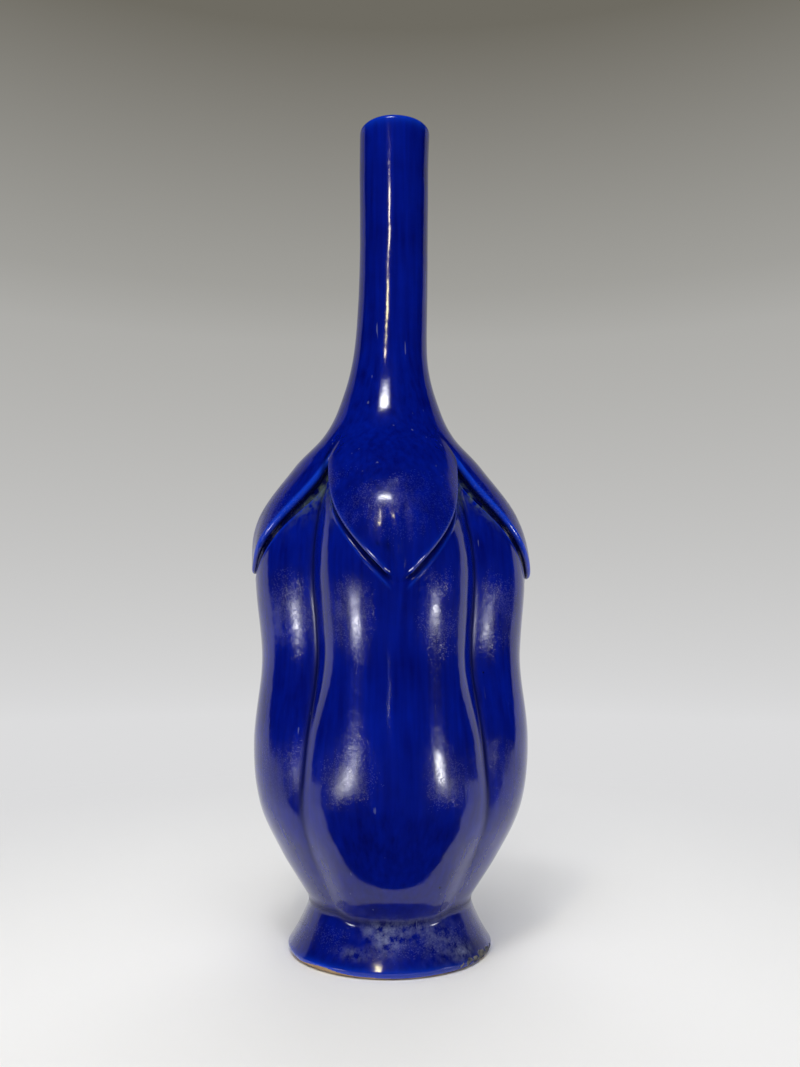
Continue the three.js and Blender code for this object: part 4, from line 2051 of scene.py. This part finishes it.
@dataclass(frozen=True)
class DarkHood:
    """Dark hood: a dome that comes down to the floor on the camera's side and stays up behind.

    Only reflections see it, so that the glaze turned to the camera mirrors a dark room. Its lower edge is a
    smooth step of the bearing, from the floor in front to a rise behind. A dark cloth runs on from it over
    the floor in front, up to the foot. Sizes are in metres, bearings and the rise in degrees.
    """

    colour: str = "040405"
    radius: float = 0.74
    front: float = 112.0
    front_fade: float = 8.0
    back_rise: float = 48.0
    cloth_edge: float = 0.036
    cloth_front: float = 84.0
    cloth_lift: float = 0.0006
    rows: int = 24
    columns: int = 145

    def cloth(self) -> bpy.types.Material:
        """Matt black cloth, which gives back next to no light.

        Returns:
            The material.
        """
        material, graph = new_material("matt_black_cloth")
        shader = graph.add("ShaderNodeBsdfDiffuse", {"Color": linear(self.colour)})
        graph.add("ShaderNodeOutputMaterial", {"Surface": shader}, output=None)
        return material

    def build(self) -> None:
        """Build the dome and the cloth on the floor as one mesh, turned inwards."""
        ahead = math.pi / 2
        share = np.linspace(0.0, 1.0, self.rows)[:, None]
        bearing = np.linspace(-math.pi, math.pi, self.columns)
        fade = (self.front - self.front_fade, self.front + self.front_fade)
        lowest = math.radians(self.back_rise) * smoothstep(np.degrees(np.abs(bearing)), *fade)
        rise = lowest + (math.pi / 2 - lowest) * share
        dome = around(self.radius * np.cos(rise), self.radius * np.sin(rise), bearing - ahead)
        front = np.radians(np.linspace(-self.cloth_front, self.cloth_front, self.columns))
        start = self.cloth_edge / np.cos(front)
        floor = around(start + (self.radius - start) * share**2, self.cloth_lift, front - ahead)
        vertices = np.concatenate([dome.reshape(-1, 3), floor.reshape(-1, 3)])
        sheets = np.arange(len(vertices)).reshape(2, self.rows, self.columns)
        faces = [quad for sheet in sheets for quad in quads_of(sheet[:, ::-1])]
        mesh = new_mesh("dark_hood", vertices, faces)
        mesh.materials.append(self.cloth())
        hood = new_object("dark_hood", mesh)
        hood.visible_camera = False
        hood.visible_diffuse = False
        hood.visible_shadow = False


@dataclass(frozen=True)
class PhotoCamera:
    """The photograph's camera: its place in millimetres, aim in degrees and focal length in pixels."""

    distance: float = 286.0
    height: float = 90.9
    bearing: float = -2.4
    yaw: float = 0.56
    pitch: float = 5.96
    roll: float = 0.07
    focal_pixels: float = 941.0
    image_pixels: int = 1067
    sensor: float = 36.0
    clip_start: float = 10.0

    def build(self) -> None:
        """Set the camera where the photograph was taken, at its yaw, pitch, roll and focal length."""
        angles = (self.bearing, self.yaw, self.pitch, self.roll)
        bearing, yaw, pitch, roll = (math.radians(angle) for angle in angles)
        heading = yaw - bearing
        level = Vector((math.cos(heading), -math.sin(heading), 0.0))
        ahead = Vector((math.sin(heading), math.cos(heading), 0.0))
        forward = math.cos(pitch) * ahead + Vector((0.0, 0.0, math.sin(pitch)))
        upright = level.cross(forward)
        right = math.cos(roll) * level + math.sin(roll) * upright
        up = math.cos(roll) * upright - math.sin(roll) * level
        data = bpy.data.cameras.new("photo_camera")
        data.sensor_width = self.sensor
        data.lens = self.focal_pixels / self.image_pixels * self.sensor
        data.clip_start = self.clip_start * MM
        camera = new_object("photo_camera", data)
        across, back = math.sin(bearing), -math.cos(bearing)
        place = Vector((self.distance * across, self.distance * back, self.height)) * MM
        axes = Matrix((right, up, -forward)).transposed().to_4x4()
        camera.matrix_world = Matrix.Translation(place) @ axes
        bpy.context.scene.camera = camera


@dataclass(frozen=True)
class Studio:
    """Soft studio light: the lamps around the vase and an even glow of the room. Sizes are in metres."""

    room_colour: str = "f2f4f8"
    room_strength: float = 0.2
    aim_height: float = 0.11
    lamps: tuple[Lamp, ...] = (
        Lamp("left_box", -57.0, 0.33, 0.031, 0.11, 0.05, 0.125, spread=80.0),
        Lamp("right_box", 57.0, 0.33, 0.031, 0.095, 0.05, 0.11, spread=80.0),
        Lamp("front_box", -18.0, 0.30, 0.3, 0.045, 0.032, 0.176, "fff0b4"),
        Lamp("neck_strip", -18.0, 0.30, 0.351, 0.03, 0.05, 0.19, "fff0d0"),
        Lamp("top_box", -16.0, 0.33, 0.62, 0.2, 0.12, 2.6),
        Lamp("slot", -12.0, 0.50, 0.1, 0.014, 0.004, 0.017),
        Lamp("fill", -8.0, 0.6, 1.1, 0.9, 0.9, 6.6, edge=1.0, mirrored=False),
        Lamp("back_fill", 172.0, 0.75, 0.9, 0.9, 0.9, 4.0, edge=1.0, mirrored=False),
    )

    def light(self) -> None:
        """Hang the soft boxes, aimed at the vase, and fill the room with even light."""
        aim = Vector((0.0, 0.0, self.aim_height))
        for lamp in self.lamps:
            lamp.hang(aim)
        world = bpy.data.worlds.new("studio_room")
        world.use_nodes = True
        world.node_tree.nodes.clear()
        graph = Graph(world.node_tree)
        glow = graph.add("ShaderNodeBackground", {
            "Color": linear(self.room_colour), "Strength": self.room_strength,
        })
        graph.add("ShaderNodeOutputWorld", {"Surface": glow}, output=None)
        bpy.context.scene.world = world

    def build(self) -> None:
        """Build the whole studio, with its sweep, hood and camera."""
        PaleSweep().build()
        DarkHood().build()
        self.light()
        PhotoCamera().build()
        bpy.context.scene.view_settings.view_transform = "Standard"


def main() -> None:
    logging.basicConfig(level=logging.INFO, format="%(message)s")
    Studio().build()
    palette = Palette(CobaltGlaze().material(), BuffClay().material(), GreySlip().material())
    foot, floor, edge = Foot(), Floor(), LeafEdge()
    assemblies = (
        foot,
        floor,
        LowerBody(foot),
        UpperBody(edge),
        Calyx(edge),
        Neck(),
        SlipJoints(foot, floor),
    )
    for assembly in assemblies:
        assembly.dress(palette)


if __name__ == "__main__":
    main()
